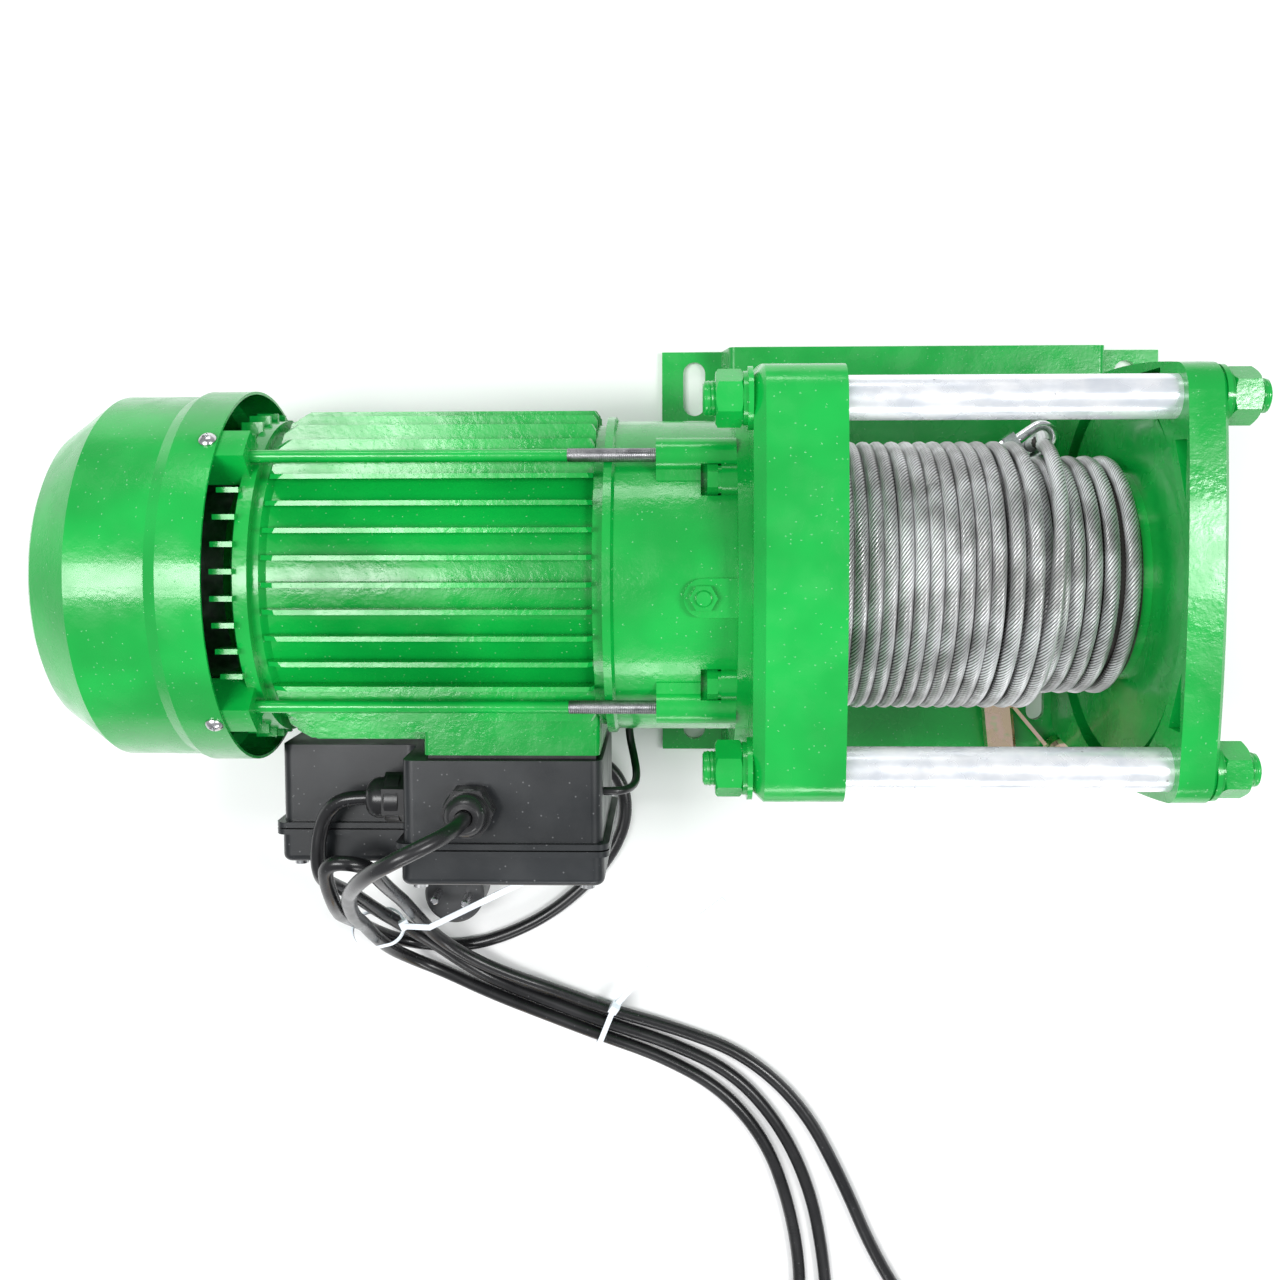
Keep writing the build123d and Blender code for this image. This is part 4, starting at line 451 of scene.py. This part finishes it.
class Shop:
    """Every finish of the winch, made once and looked up by its name."""

    finishes = (
        Paint("sheet_paint", grain=0.10),
        Paint("cast_paint", grain=0.45),
        Paint("plate_paint", grain=0.22, base=(0.004, 0.40, 0.055), shade=(0.002, 0.29, 0.038)),
        Metal("zinc_tube", (0.95, 0.96, 0.98), (0.76, 0.80, 0.86), 0.26, (1, 2.5, 2.5), 60.0, 0.55),
        Metal("bolt_zinc", (0.80, 0.80, 0.80), (0.45, 0.46, 0.47), 0.26),
        Metal("dark_steel", (0.34, 0.34, 0.35), (0.18, 0.18, 0.19), 0.36),
        Metal("ground_steel", (0.66, 0.66, 0.68), (0.45, 0.45, 0.47), 0.22, (60, 4, 4), 30.0),
        Metal("wound_copper", (0.80, 0.40, 0.20), (0.50, 0.22, 0.10), 0.3, (4, 90, 90), 12.0),
        Metal("clip_zinc", (0.86, 0.87, 0.88), (0.55, 0.56, 0.58), 0.2),
        Iridescent("hook_zinc", (0.0440, -0.0720, 0.0520)),
        Moulded("box_black", (0.010, 0.012, 0.014), 0.34, dust=0.3),
        Moulded("gland_black", (0.010, 0.010, 0.011), 0.30, dust=0.25),
        Moulded("cord_black", (0.008, 0.008, 0.009), 0.27, dust=0.15, grain=0.03),
        Moulded("lead_black", (0.009, 0.009, 0.010), 0.33, dust=0.1),
        Moulded("seal_rubber", (0.014, 0.014, 0.014), 0.6, dust=0.2),
        Moulded("plug_grey", (0.035, 0.036, 0.038), 0.45),
        Moulded("capacitor_grey", (0.10, 0.10, 0.11), 0.4),
        Moulded("brake_lining", (0.09, 0.075, 0.06), 0.75, grain=0.15, grain_scale=500.0),
        Moulded("tie_white", (0.80, 0.86, 0.92), 0.25, dust=0.0, sheen=(0.6, 0.6, 0.6)),
        Moulded("fan_black", (0.02, 0.02, 0.022), 0.45),
        Moulded("pendant_yellow", (0.78, 0.45, 0.012), 0.36, dust=0.15),
        Moulded("button_black", (0.015, 0.015, 0.016), 0.3, dust=0.1),
        Moulded("stop_red", (0.55, 0.012, 0.010), 0.25, dust=0.05),
        Strands("rope_wire"),
    )

    def __init__(self) -> None:
        """Makes all the materials."""
        self.made = {finish.name: finish.build() for finish in self.finishes}

    def dress(self, finish: str, *nodes: str) -> None:
        """Gives a finish to CAD nodes.

        Args:
            finish: The finish's name.
            nodes: The CAD nodes that take it.
        """
        for name in nodes:
            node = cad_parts[name]
            for slot in node.material_slots:
                slot.material = self.made[finish]


class Piece:
    """Turns grids of points into finished pieces on the frame's bodies."""

    def __init__(self, shop: Shop) -> None:
        """Keeps the shop that the finishes come from."""
        self.shop = shop

    def finish(
        self, thing: bpy.types.Object, finish: str, slot: str, body: str = "frame"
    ) -> bpy.types.Object:
        """Gives an object its finish and its body.

        Args:
            thing: The object.
            finish: The finish's name.
            slot: The record's material slot; not used.
            body: The CAD body that it rides on.

        Returns:
            The object.
        """
        thing.data.materials.append(self.shop.made[finish])
        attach(thing, body)
        LOG.info("%s rides on %s", thing.name, body)
        return thing

    @staticmethod
    def skin(
        name: str,
        grid: np.ndarray,
        round_it: bool = True,
        caps: bool = True,
        around: Optional[np.ndarray] = None,
        along: Optional[np.ndarray] = None,
    ) -> bpy.types.Object:
        """A surface through a grid of points: rows along it, columns around it.

        Args:
            name: The object's name.
            grid: Points, shaped (rows, columns, 3).
            round_it: Whether the last column joins the first.
            caps: Whether the first and the last row are closed by a face.
            around: The map's second coordinate of each column, one more than the columns.
            along: The map's first coordinate of each row.

        Returns:
            The object, with smooth faces and outward normals for a right-handed grid.
        """
        rows, columns = grid.shape[:2]
        index = np.arange(rows * columns).reshape(rows, columns)
        after = np.roll(index, -1, axis=1) if round_it else index[:, 1:]
        here = index if round_it else index[:, :-1]
        faces = np.stack([here[:-1], after[:-1], after[1:], here[1:]], -1).reshape(-1, 4)
        shapes = faces.tolist()
        if caps:
            shapes += [index[0, ::-1].tolist(), index[-1].tolist()]
        mesh = bpy.data.meshes.new(name)
        mesh.from_pydata(grid.reshape(-1, 3).tolist(), [], shapes)
        if around is not None and along is not None:
            first, second = np.broadcast_arrays(along[:, None], around[None, :])
            low_u, high_u = first[:-1, :-1], first[1:, :-1]
            low_v, high_v = second[:-1, :-1], second[:-1, 1:]
            corners = np.stack(
                [
                    np.stack([low_u, low_v], -1),
                    np.stack([low_u, high_v], -1),
                    np.stack([high_u, high_v], -1),
                    np.stack([high_u, low_v], -1),
                ],
                2,
            ).reshape(-1)
            chart = mesh.uv_layers.new(name="along_and_around")
            values = np.zeros(len(mesh.loops) * 2)
            values[: corners.size] = corners
            chart.data.foreach_set("uv", values)
        mesh.polygons.foreach_set("use_smooth", [True] * len(mesh.polygons))
        mesh.update()
        thing = bpy.data.objects.new(name, mesh)
        bpy.context.scene.collection.objects.link(thing)
        return thing


@dataclass(frozen=True)
class Route:
    """The line of a cord or a rope: a NURBS through the pull of its own points."""

    name: str
    points: tuple[tuple[float, float, float], ...]
    diameter: float

    def spline(self, bevel: bool = True) -> bpy.types.Object:
        """Makes the line as a curve object.

        Args:
            bevel: Whether the curve has the cord's thickness.

        Returns:
            The curve object, linked to the scene.
        """
        curve = bpy.data.curves.new(self.name, "CURVE")
        curve.dimensions = "3D"
        curve.resolution_u = 12
        curve.use_fill_caps = True
        line = curve.splines.new("NURBS")
        line.points.add(len(self.points) - 1)
        for knot, place in zip(line.points, self.points):
            knot.co = (place[0] * MM, place[1] * MM, place[2] * MM, 1.0)
        line.order_u = 3
        line.use_endpoint_u = True
        if bevel:
            curve.bevel_depth = self.diameter / 2
            curve.bevel_resolution = 5
        thing = bpy.data.objects.new(self.name, curve)
        bpy.context.scene.collection.objects.link(thing)
        return thing

    def trace(self) -> np.ndarray:
        """Reads the points of the line back from a curve with no thickness.

        Returns:
            The points along the line, in metres.
        """
        thing = self.spline(bevel=False)
        graph = bpy.context.evaluated_depsgraph_get()
        mesh = bpy.data.meshes.new_from_object(thing.evaluated_get(graph))
        points = np.zeros(len(mesh.vertices) * 3)
        mesh.vertices.foreach_get("co", points)
        bpy.data.objects.remove(thing)
        bpy.data.meshes.remove(mesh)
        return points.reshape(-1, 3)


def length_of(points: np.ndarray) -> np.ndarray:
    """Distance along a line at each of its points, from zero."""
    steps = np.linalg.norm(np.diff(points, axis=0), axis=1)
    return np.concatenate([[0.0], np.cumsum(steps)])


def spaced(points: np.ndarray, step: float) -> np.ndarray:
    """The same line with its points a given step apart.

    Args:
        points: Points along a line.
        step: The distance between the new points.

    Returns:
        The new points.
    """
    far = length_of(points)
    places = np.linspace(0.0, far[-1], max(2, int(far[-1] / step) + 1))
    return np.stack([np.interp(places, far, points[:, axis]) for axis in range(3)], -1)


@dataclass
class WireRope:
    """The rope on the drum, and the tail that goes through the clip and the hook's eye."""

    piece: Piece
    diameter: float = 7.7 * MM
    strands: int = 12
    lay: float = 27.0 * MM
    steps_per_lay: int = 12
    groove: float = 0.60 * MM
    outer_radius: float = 68.0 * MM
    inner_radius: float = 60.1 * MM
    # The dark cylinder of painted shade that fills the gaps between the wraps.
    shade_bed_radius: float = 57.6 * MM
    shade_bed_ends: tuple[float, float] = (-71.5 * MM, 84.0 * MM)
    blends_per_turn: int = 5
    free_turn: float = 0.4
    outer_sway: float = 0.35 * MM
    inner_sway: float = 0.4 * MM
    inner_start: float = -1.9

    def twist(
        self, name: str, line: np.ndarray, out: np.ndarray, phase: float = 0.0
    ) -> bpy.types.Object:
        """Lays the strands along a line.

        The skin is a tube whose radius is the rope's less a groove's depth times
        1 - |sin(half the strand's angle)|, and whose columns turn once per lay length,
        right-handed, so that each strand stays on its own columns.

        Args:
            name: The object's name.
            line: The points of the rope's middle, evenly spaced.
            out: A direction at each point, roughly square to the line.
            phase: The angle of the first strand from that direction.

        Returns:
            The rope.
        """
        way = np.gradient(line, axis=0)
        way /= np.linalg.norm(way, axis=1)[:, None]
        side = out - (out * way).sum(1)[:, None] * way
        side /= np.linalg.norm(side, axis=1)[:, None]
        other = np.cross(way, side)
        far = length_of(line)
        columns = self.strands * 4
        share = np.arange(columns) / columns
        angle = phase + math.tau * (share[None, :] + far[:, None] / self.lay)
        lobe = 1 - np.abs(np.sin(math.pi * self.strands * share))
        radius = self.diameter / 2 - self.groove * lobe**1.6
        ring = (
            np.cos(angle)[..., None] * side[:, None, :]
            + np.sin(angle)[..., None] * other[:, None, :]
        )
        grid = line[:, None, :] + ring * radius[None, :, None]
        around = np.arange(columns + 1) / columns
        return self.piece.skin(name, grid, around=around, along=far)

    def wraps(
        self, turns: np.ndarray, places: np.ndarray, radii: np.ndarray, start: float, sway: float
    ) -> tuple[np.ndarray, np.ndarray]:
        """The middle line of rope wound on the drum.

        The angle grows evenly. The place along the drum and the radius go smoothly from key
        to key, with a slow sway, so that neighbouring wraps aren't copies.

        Args:
            turns: The turn of each key.
            places: The place along the drum at each key.
            radii: The distance from the drum's axis at each key.
            start: The angle of turn zero, from +Y towards +Z.
            sway: How far a wrap strays along the drum.

        Returns:
            The points, and the outward direction at each.
        """
        step = self.lay / self.steps_per_lay
        count = int((turns[-1] - turns[0]) * math.tau * radii.mean() / step)
        turn = np.linspace(turns[0], turns[-1], count)
        along = np.interp(turn, turns, places)
        smooth = np.hanning(int(count / (turns[-1] - turns[0]) / self.blends_per_turn) | 1)
        smooth /= smooth.sum()
        pad = len(smooth) // 2
        along = np.convolve(np.pad(along, pad, mode="edge"), smooth, mode="valid")
        radius = np.interp(turn, turns, radii)
        from_ends = np.minimum(turn - turns[0], turns[-1] - turn)
        free = np.clip(from_ends / self.free_turn, 0, 1)
        along = along + sway * free * np.sin(turn * 2.3 + 0.6) * np.sin(turn * 0.71 + 1.1)
        angle = start + math.tau * turn
        out = np.stack([np.zeros_like(angle), np.cos(angle), np.sin(angle)], -1)
        middle = np.array([0.0, AXIS_Y, AXIS_Z]) + out * radius[:, None]
        middle[:, 0] = along
        return middle, out

    def build(self) -> list[bpy.types.Object]:
        """Makes the wraps of both layers and the dark cylinder of painted shade under them.

        Returns:
            The pieces.
        """
        live = [49.0, 45.5, 43.0, 38.5, 36.0]
        tops = [29.0, 19.5, 10.3, 2.6, -4.9, -12.4, -19.9, -27.4, -34.9, -42.4, -49.9, -57.3]
        last = [-64.2, -67.6]
        turns = np.concatenate([[0.0, 0.042, 0.146, 0.242, 0.338], 1.242 + np.arange(14)])
        places = np.array(live + tops + last) * MM
        radii = np.full(len(turns), self.outer_radius)
        radii[:3] = 69.6 * MM, 69.3 * MM, 68.6 * MM
        meet = math.atan2(142.0 * MM - AXIS_Z, 62.3 * MM - AXIS_Y)
        line, out = self.wraps(turns, places, radii, meet, self.outer_sway)
        half = len(line) // 2
        made = [
            self.twist("rope_outer_right", line[: half + 1], out[: half + 1]),
            self.twist("rope_outer_left", line[half:], out[half:], self.phase_at(line, half)),
        ]
        turns = np.concatenate([[0.0], 0.552 + np.arange(9)])
        places = np.array([80.3, 78.0, 68.2, 59.2, 51.0, 43.4, 35.5, 27.6, 19.8, 12.0]) * MM
        radii = np.full(len(turns), self.inner_radius)
        line, out = self.wraps(turns, places, radii, self.inner_start, self.inner_sway)
        made.append(self.twist("rope_inner", line, out))
        # A dark cylinder under the wraps, painted shade in the gaps between them.
        made.append(self.shade_bed())
        for thing in made:
            self.piece.finish(thing, "rope_wire", "wire_rope", "drum")
        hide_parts("wound_rope")
        return made

    def shade_bed(self) -> bpy.types.Object:
        """Painted shade between the wraps: a plain dark cylinder about the drum that hides the green
        barrel in the gaps. It has no map, so the rope finish gives it its dark groove colour.

        Returns:
            The cylinder.
        """
        columns = 96
        angle = math.tau * np.arange(columns) / columns
        grid = np.zeros((len(self.shade_bed_ends), columns, 3))
        grid[..., 0] = np.array(self.shade_bed_ends)[:, None]
        grid[..., 1] = AXIS_Y + self.shade_bed_radius * np.cos(angle)
        grid[..., 2] = AXIS_Z + self.shade_bed_radius * np.sin(angle)
        return self.piece.skin("rope_shade_bed", grid, caps=False)

    def phase_at(self, line: np.ndarray, index: int) -> float:
        """The angle that the strands have turned by at one point of a line."""
        return math.tau * float(length_of(line)[index]) / self.lay

    def tail(self) -> bpy.types.Object:
        """Makes the tail: down from the drum, through the clip, round the eye and back.

        Returns:
            The tail.
        """
        route = Route(
            "rope_tail_line",
            (
                (49.0, 62.3, 142.0),
                (54.5, 67.5, 119.0),
                (59.5, 68.8, 96.0),
                (59.0, 65.0, 70.0),
                (57.5, 50.0, 48.0),
                (54.0, 26.0, 38.0),
                (49.5, -4.0, 36.2),
                (46.0, -32.0, 36.6),
                (44.0, -58.7, 36.6),
                (44.0, -58.7, 63.4),
                (45.0, -32.0, 63.4),
                (47.5, -6.0, 61.5),
                (50.0, 20.0, 59.5),
                (52.0, 45.0, 63.0),
                (52.6, 60.0, 79.0),
                (52.7, 64.2, 97.0),
                (52.9, 65.0, 114.0),
            ),
            self.diameter,
        )
        line = spaced(route.trace(), self.lay / self.steps_per_lay)
        out = np.broadcast_to(np.array([1.0, 0.0, 0.0]), line.shape)
        thing = self.twist("rope_hook_loop", line, out, math.pi / self.strands)
        self.piece.finish(thing, "rope_wire", "wire_rope", "frame")
        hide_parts("rope_tail")
        return thing


@dataclass
class Leads:
    """The mains lead with its plug, the pendant's lead with its coil, and the motor's leads."""

    piece: Piece
    diameter: float = 8.2 * MM
    lead_diameter: float = 4.4 * MM
    coil_centre: tuple[float, float] = (-125.0, -575.0)
    coil_points: int = 14

    def coil(self) -> tuple[tuple[float, float, float], ...]:
        """The control points of the pendant lead's coil.

        Points on a clockwise spiral: the radius goes from the outer turn to the inner one
        towards the end of the first turn, and every point is on the floor.

        Returns:
            The points, in millimetres.
        """
        turns = 1.38
        count = int(turns * self.coil_points)
        share = np.arange(count) / self.coil_points
        angle = math.radians(8.0) - math.tau * share
        radius = np.interp(share, [0.0, 0.78, 1.0, turns], [50.5, 50.5, 42.2, 42.2])
        x = self.coil_centre[0] + radius * np.cos(angle)
        y = self.coil_centre[1] + radius * np.sin(angle)
        return tuple((float(a), float(b), FLOOR) for a, b in zip(x, y))

    def control(self) -> bpy.types.Object:
        """Makes the pendant's lead: out of the top gland, down, along the floor and coiled.

        Returns:
            The lead.
        """
        out = (
            (-255, -126, 202),
            (-255, -126, 216),
            (-258, -127.5, 229),
            (-268, -131, 240),
            (-283, -138, 243),
            (-298, -148, 231),
            (-311, -161, 207),
            (-323, -178, 172),
            (-330, -200, 132),
            (-335, -216, 92),
            (-337, -236, 56),
            (-333, -254, 28),
            (-320, -268, 10),
            (-303, -277, FLOOR),
            (-271, -292, FLOOR),
            (-235, -306, FLOOR),
            (-197, -319.5, TIED),
            (-158, -334, FLOOR),
            (-118, -356, FLOOR),
            (-89, -391, FLOOR),
            (-74, -432, FLOOR),
            (-66, -475, FLOOR),
            (-66, -514, FLOOR),
            (-78.5, -548.5, FLOOR),
        )
        end = (
            (-164.5, -597.0, FLOOR),
            (-172.0, -590.0, 11.0),
            (-177.0, -579.0, 15.5),
            (-178.5, -566.0, 12.0),
            (-179.5, -550.0, 6.0),
            (-186.0, -537.0, 6.5),
            (-198.0, -530.0, 9.0),
            (-209.0, -530.0, 9.0),
        )
        route = Route("control_lead", (*out, *self.coil(), *end), self.diameter)
        thing = route.spline()
        self.piece.finish(thing, "cord_black", "lead_sheath")
        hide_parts("control_cord", "control_coil")
        length = float(length_of(route.trace())[-1])
        LOG.info("control lead %.3f m", length)
        return thing

    def mains(self) -> bpy.types.Object:
        """Makes the mains lead: out of the side gland, away along the floor, back and over.

        Returns:
            The lead.
        """
        route = Route(
            "mains_lead",
            (
                (-310, -126, 158),
                (-322, -126, 158),
                (-333, -129.5, 156),
                (-341, -140, 152),
                (-344.5, -157, 151.5),
                (-344.5, -173, 147.5),
                (-343.5, -184, 125),
                (-340, -199, 92),
                (-333, -221, 56),
                (-321, -241, 27),
                (-305, -255, 16.5),
                (-288, -270, 9.5),
                (-268, -283.5, FLOOR),
                (-232, -297.5, FLOOR),
                (-194, -311, TIED),
                (-152, -325, FLOOR),
                (-110, -345, FLOOR),
                (-79, -381, FLOOR),
                (-59, -425, FLOOR),
                (-50, -473, FLOOR),
                (-47, -515, FLOOR),
                (-53, -552, FLOOR),
                (-46, -588, FLOOR),
                (-18, -610, FLOOR),
                (18, -604, FLOOR),
                (38, -573, FLOOR),
                (30, -537, FLOOR),
                (6, -506, FLOOR),
                (-18, -466, FLOOR),
                (-38, -418, FLOOR),
                (-64, -368, FLOOR),
                (-103, -332, FLOOR),
                (-149, -315, FLOOR),
                (-191, -302.5, TIED),
                (-228.5, -289, 6),
                (-258, -277, 11.5),
                (-283, -264, 16.5),
                (-303, -247, 26),
                (-311, -226, 49),
                (-312.5, -206, 82),
                (-312, -190, 116),
                (-311.5, -175, 146),
                (-312.5, -165, 162),
                (-315, -160.5, 169.5),
                (-321.5, -158, 173.5),
                (-329.5, -158, 173.5),
                (-335, -162, 170),
                (-337, -171, 162),
                (-337.5, -187, 147),
                (-340.5, -201, 123),
                (-345, -213, 92),
                (-346, -228, 56),
                (-342, -244, 25),
                (-331, -255, 8.5),
                (-312, -259.5, FLOOR),
                (-285, -260, FLOOR),
                (-258, -252, FLOOR),
                (-231, -238, FLOOR),
                (-207, -218, FLOOR),
                (-189, -196, FLOOR),
                (-180, -172, FLOOR),
                (-184, -147, FLOOR),
                (-204, -131, FLOOR),
                (-229, -139, 7),
                (-251, -161, 10),
                (-265, -181, 10),
            ),
            self.diameter,
        )
        thing = route.spline()
        self.piece.finish(thing, "cord_black", "lead_sheath")
        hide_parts("mains_cord")
        length = float(length_of(route.trace())[-1])
        LOG.info("mains lead %.3f m", length)
        return thing

    def motor(self) -> bpy.types.Object:
        """Makes the motor's leads, from the housing's wall into the terminal box.

        Returns:
            The leads, as one.
        """
        route = Route(
            "motor_lead",
            (
                (-175, -88.9, 121.4),
                (-174.5, -99, 119.6),
                (-172, -109, 124),
                (-170, -116, 136),
                (-170, -119, 150),
                (-173, -120, 162),
                (-179, -120, 168),
                (-186.5, -120, 168),
            ),
            self.lead_diameter,
        )
        thing = route.spline()
        self.piece.finish(thing, "lead_black", "lead_sheath")
        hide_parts("motor_leads")
        float(length_of(route.trace())[-1])
        return thing


@dataclass
class Threads:
    """The threads that stand out of the tie studs' ends and of the motor's long bolts."""

    piece: Piece
    stud_radius: float = 8.0 * MM
    stud_pitch: float = 2.0 * MM
    bolt_radius: float = 3.25 * MM
    bolt_pitch: float = 1.0 * MM
    stud_spread: float = 88.5 * MM
    stud_ends: tuple[tuple[str, float, float], ...] = (
        ("left", -134.9 * MM, 5.6 * MM),
        ("right", 121.9 * MM, 5.5 * MM),
    )
    bolt_spread: float = 62.9 * MM
    bolt_left: float = -202.0 * MM
    bolt_length: float = 44.0 * MM
    rows_per_pitch: int = 6
    columns: int = 28
    proud: float = 0.02 * MM
    depth: float = 0.22

    def thread(
        self, name: str, start: tuple[float, float, float], length: float, radius: float, pitch: float
    ) -> bpy.types.Object:
        """One thread along +X.

        The radius is a rounded wave of the place along the axis less the angle's share of a
        turn, so that its crest climbs one pitch per turn.

        Args:
            name: The object's name.
            start: The middle of its first turn.
            length: Its length.
            radius: The radius of its crest.
            pitch: The distance from crest to crest.

        Returns:
            The thread.
        """
        rows = int(length / pitch * self.rows_per_pitch)
        along = np.linspace(0.0, length, rows)
        angle = math.tau * np.arange(self.columns) / self.columns
        wave = 0.5 + 0.5 * np.cos(math.tau * (along[:, None] / pitch - angle[None, :] / math.tau))
        fade = np.clip(np.minimum(along, length - along) / pitch, 0.0, 1.0)[:, None]
        height = radius + self.proud + self.depth * pitch * wave * fade
        grid = np.stack(
            [
                np.broadcast_to(along[:, None], height.shape),
                height * np.cos(angle),
                height * np.sin(angle),
            ],
            -1,
        )
        return self.piece.skin(name, grid + np.array(start))

    def build(self) -> None:
        """Makes the threads of both studs and of the four long bolts."""
        for side, way in (("back", 1), ("front", -1)):
            for end, left, length in self.stud_ends:
                thing = self.thread(
                    f"stud_thread_{side}_{end}",
                    (left, AXIS_Y + way * self.stud_spread, AXIS_Z + self.stud_spread),
                    length,
                    self.stud_radius,
                    self.stud_pitch,
                )
                self.piece.finish(thing, "cast_paint", "green_paint")
        for side, way in (("back", 1), ("front", -1)):
            for level, lift in (("high", 1), ("low", -1)):
                middle = (AXIS_Y + way * self.bolt_spread, AXIS_Z + lift * self.bolt_spread)
                thing = self.thread(
                    f"bolt_thread_{side}_{level}",
                    (self.bolt_left, *middle),
                    self.bolt_length,
                    self.bolt_radius,
                    self.bolt_pitch,
                )
                self.piece.finish(thing, "dark_steel", "green_paint")


@dataclass
class Studio:
    """Camera, lamps, floor and sky."""

    eye: tuple[float, float, float] = (-147.98 * MM, 32.11 * MM, 854.66 * MM)
    tilt: tuple[float, float, float] = (-0.0659236, 0.0276796, -0.000808)
    lens: float = 37.0
    shift: tuple[float, float] = (0.0, -0.0394)
    aim: tuple[float, float, float] = (-0.15, -0.02, 0.10)
    lamps: tuple[tuple[str, tuple[float, float, float], tuple[float, float], float], ...] = (
        ("left", (-1.05, 0.0, 1.9), (0.6, 1.0), 24.0),
        ("right", (1.12, 0.05, 1.9), (0.4, 0.8), 23.0),
        ("front", (0.1, -1.5, 0.8), (1.0, 0.3), 7.0),
        ("back", (-0.4, 1.5, 0.9), (1.0, 0.3), 6.0),
    )
    sky_level: float = 0.45
    floor_level: float = 0.95
    floor_half: float = 3.0
    floor_drop: float = 0.2 * MM

    def camera(self) -> None:
        """Places the camera almost straight above the winch."""
        data = bpy.data.cameras.new("camera")
        data.lens = self.lens
        data.sensor_width = 36.0
        data.shift_x, data.shift_y = self.shift
        data.clip_start, data.clip_end = 0.01, 50.0
        thing = bpy.data.objects.new("camera", data)
        bpy.context.scene.collection.objects.link(thing)
        turned = (
            Matrix.Rotation(self.tilt[0], 4, "X")
            @ Matrix.Rotation(self.tilt[1], 4, "Y")
            @ Matrix.Rotation(self.tilt[2], 4, "Z")
        )
        thing.matrix_world = Matrix.Translation(self.eye) @ turned
        bpy.context.scene.camera = thing

    def lamp(
        self,
        name: str,
        place: tuple[float, float, float],
        target: tuple[float, float, float],
        size: tuple[float, float],
        power: float,
    ) -> None:
        """Adds one soft rectangular lamp.

        Args:
            name: The lamp's name.
            place: Where it is.
            target: What it points at.
            size: Its width and height.
            power: Its power in watts.
        """
        data = bpy.data.lights.new(name, "AREA")
        data.shape = "RECTANGLE"
        data.size, data.size_y = size
        data.energy = power
        thing = bpy.data.objects.new(name, data)
        bpy.context.scene.collection.objects.link(thing)
        thing.location = place
        thing.rotation_euler = (Vector(target) - Vector(place)).to_track_quat("-Z", "Y").to_euler()

    def white(self, name: str, level: float) -> bpy.types.Material:
        """The matt pale floor.

        Args:
            name: The material's name.
            level: The grey of the floor.

        Returns:
            The material.
        """
        look = Surface(name)
        look.put("Base Color", (level, level, level))
        look.put("Roughness", 0.9)
        look.put("Specular IOR Level", 0.0)
        return look.material

    def sky(self, level: float) -> None:
        """A plain pale world, the same to every kind of ray.

        Args:
            level: Its strength.
        """
        world = bpy.data.worlds.new("sky")
        bpy.context.scene.world = world
        world.use_nodes = True
        plain = world.node_tree.nodes["Background"]
        plain.inputs["Color"].default_value = (0.95, 0.97, 1.0, 1.0)
        plain.inputs["Strength"].default_value = level

    def build(self) -> None:
        """Makes the whole studio."""
        self.camera()
        self.sky(self.sky_level)
        for name, place, size, power in self.lamps:
            self.lamp(name, place, self.aim, size, power)
        half, level = self.floor_half, -self.floor_drop
        grid = np.array([[(x, y, level) for x in (-half, half)] for y in (-half, half)])
        floor = Piece.skin("floor", grid, round_it=False, caps=False)
        floor.data.materials.append(self.white("floor_white", self.floor_level))
        bpy.context.scene.view_settings.view_transform = "Standard"


@dataclass
class Winch:
    """The whole winch: it dresses the CAD nodes and builds the pieces made here."""

    shop: Shop

    def dress(self) -> None:
        """Gives every CAD node its finish."""
        dress = self.shop.dress
        dress("sheet_paint", "fan_cowl")
        dress("cast_paint", "rear_end_bell", "stator_housing", "gearbox_housing", "gear_casing")
        dress("cast_paint", "end_bracket", "drum", "tie_nuts", "gearbox_bolts", "breather_plug")
        dress("plate_paint", "base_plate")
        dress("zinc_tube", "spacer_tubes")
        dress("cast_paint", "tie_studs", "tie_washers", "motor_through_bolts")
        dress("bolt_zinc", "base_bolts")
        dress("bolt_zinc", "axle_circlips", "cowl_screws", "box_screws", "latch_rivet")
        dress("clip_zinc", "u_bolt", "clip_saddle", "clip_nuts")
        dress("hook_zinc", "hook", "hook_latch")
        dress("ground_steel", "drum_axle", "rotor_shaft", "layshaft", "plug_pins")
        dress("dark_steel", "rotor_core", "stator_core", "layshaft_wheel", "ring_gear")
        dress("dark_steel", "brake_magnet", "brake_armature", "brake_plate", "shaft_bearings")
        dress("dark_steel", "drum_bearings")
        dress("wound_copper", "stator_winding")
        dress("brake_lining", "brake_disc")
        dress("fan_black", "cooling_fan")
        dress("box_black", "terminal_box", "box_lid", "terminal_block")
        dress("gland_black", "gland_bodies", "gland_nuts")
        dress("seal_rubber", "box_gaskets")
        dress("capacitor_grey", "capacitors")
        dress("plug_grey", "plug_body")
        dress("tie_white", "cable_ties")
        dress("pendant_yellow", "pendant_case")
        dress("button_black", "up_button", "down_button")
        dress("stop_red", "stop_button")

    def build(self) -> None:
        """Dresses the CAD nodes and builds the pieces."""
        self.dress()
        piece = Piece(self.shop)
        leads = Leads(piece)
        leads.mains()
        leads.control()
        leads.motor()
        rope = WireRope(piece)
        rope.build()
        rope.tail()
        Threads(piece).build()


def main() -> None:
    """Builds the studio and the winch."""
    logging.basicConfig(level=logging.INFO, format="%(name)s: %(message)s")
    Studio().build()
    Winch(Shop()).build()


if __name__ == "__main__":
    main()
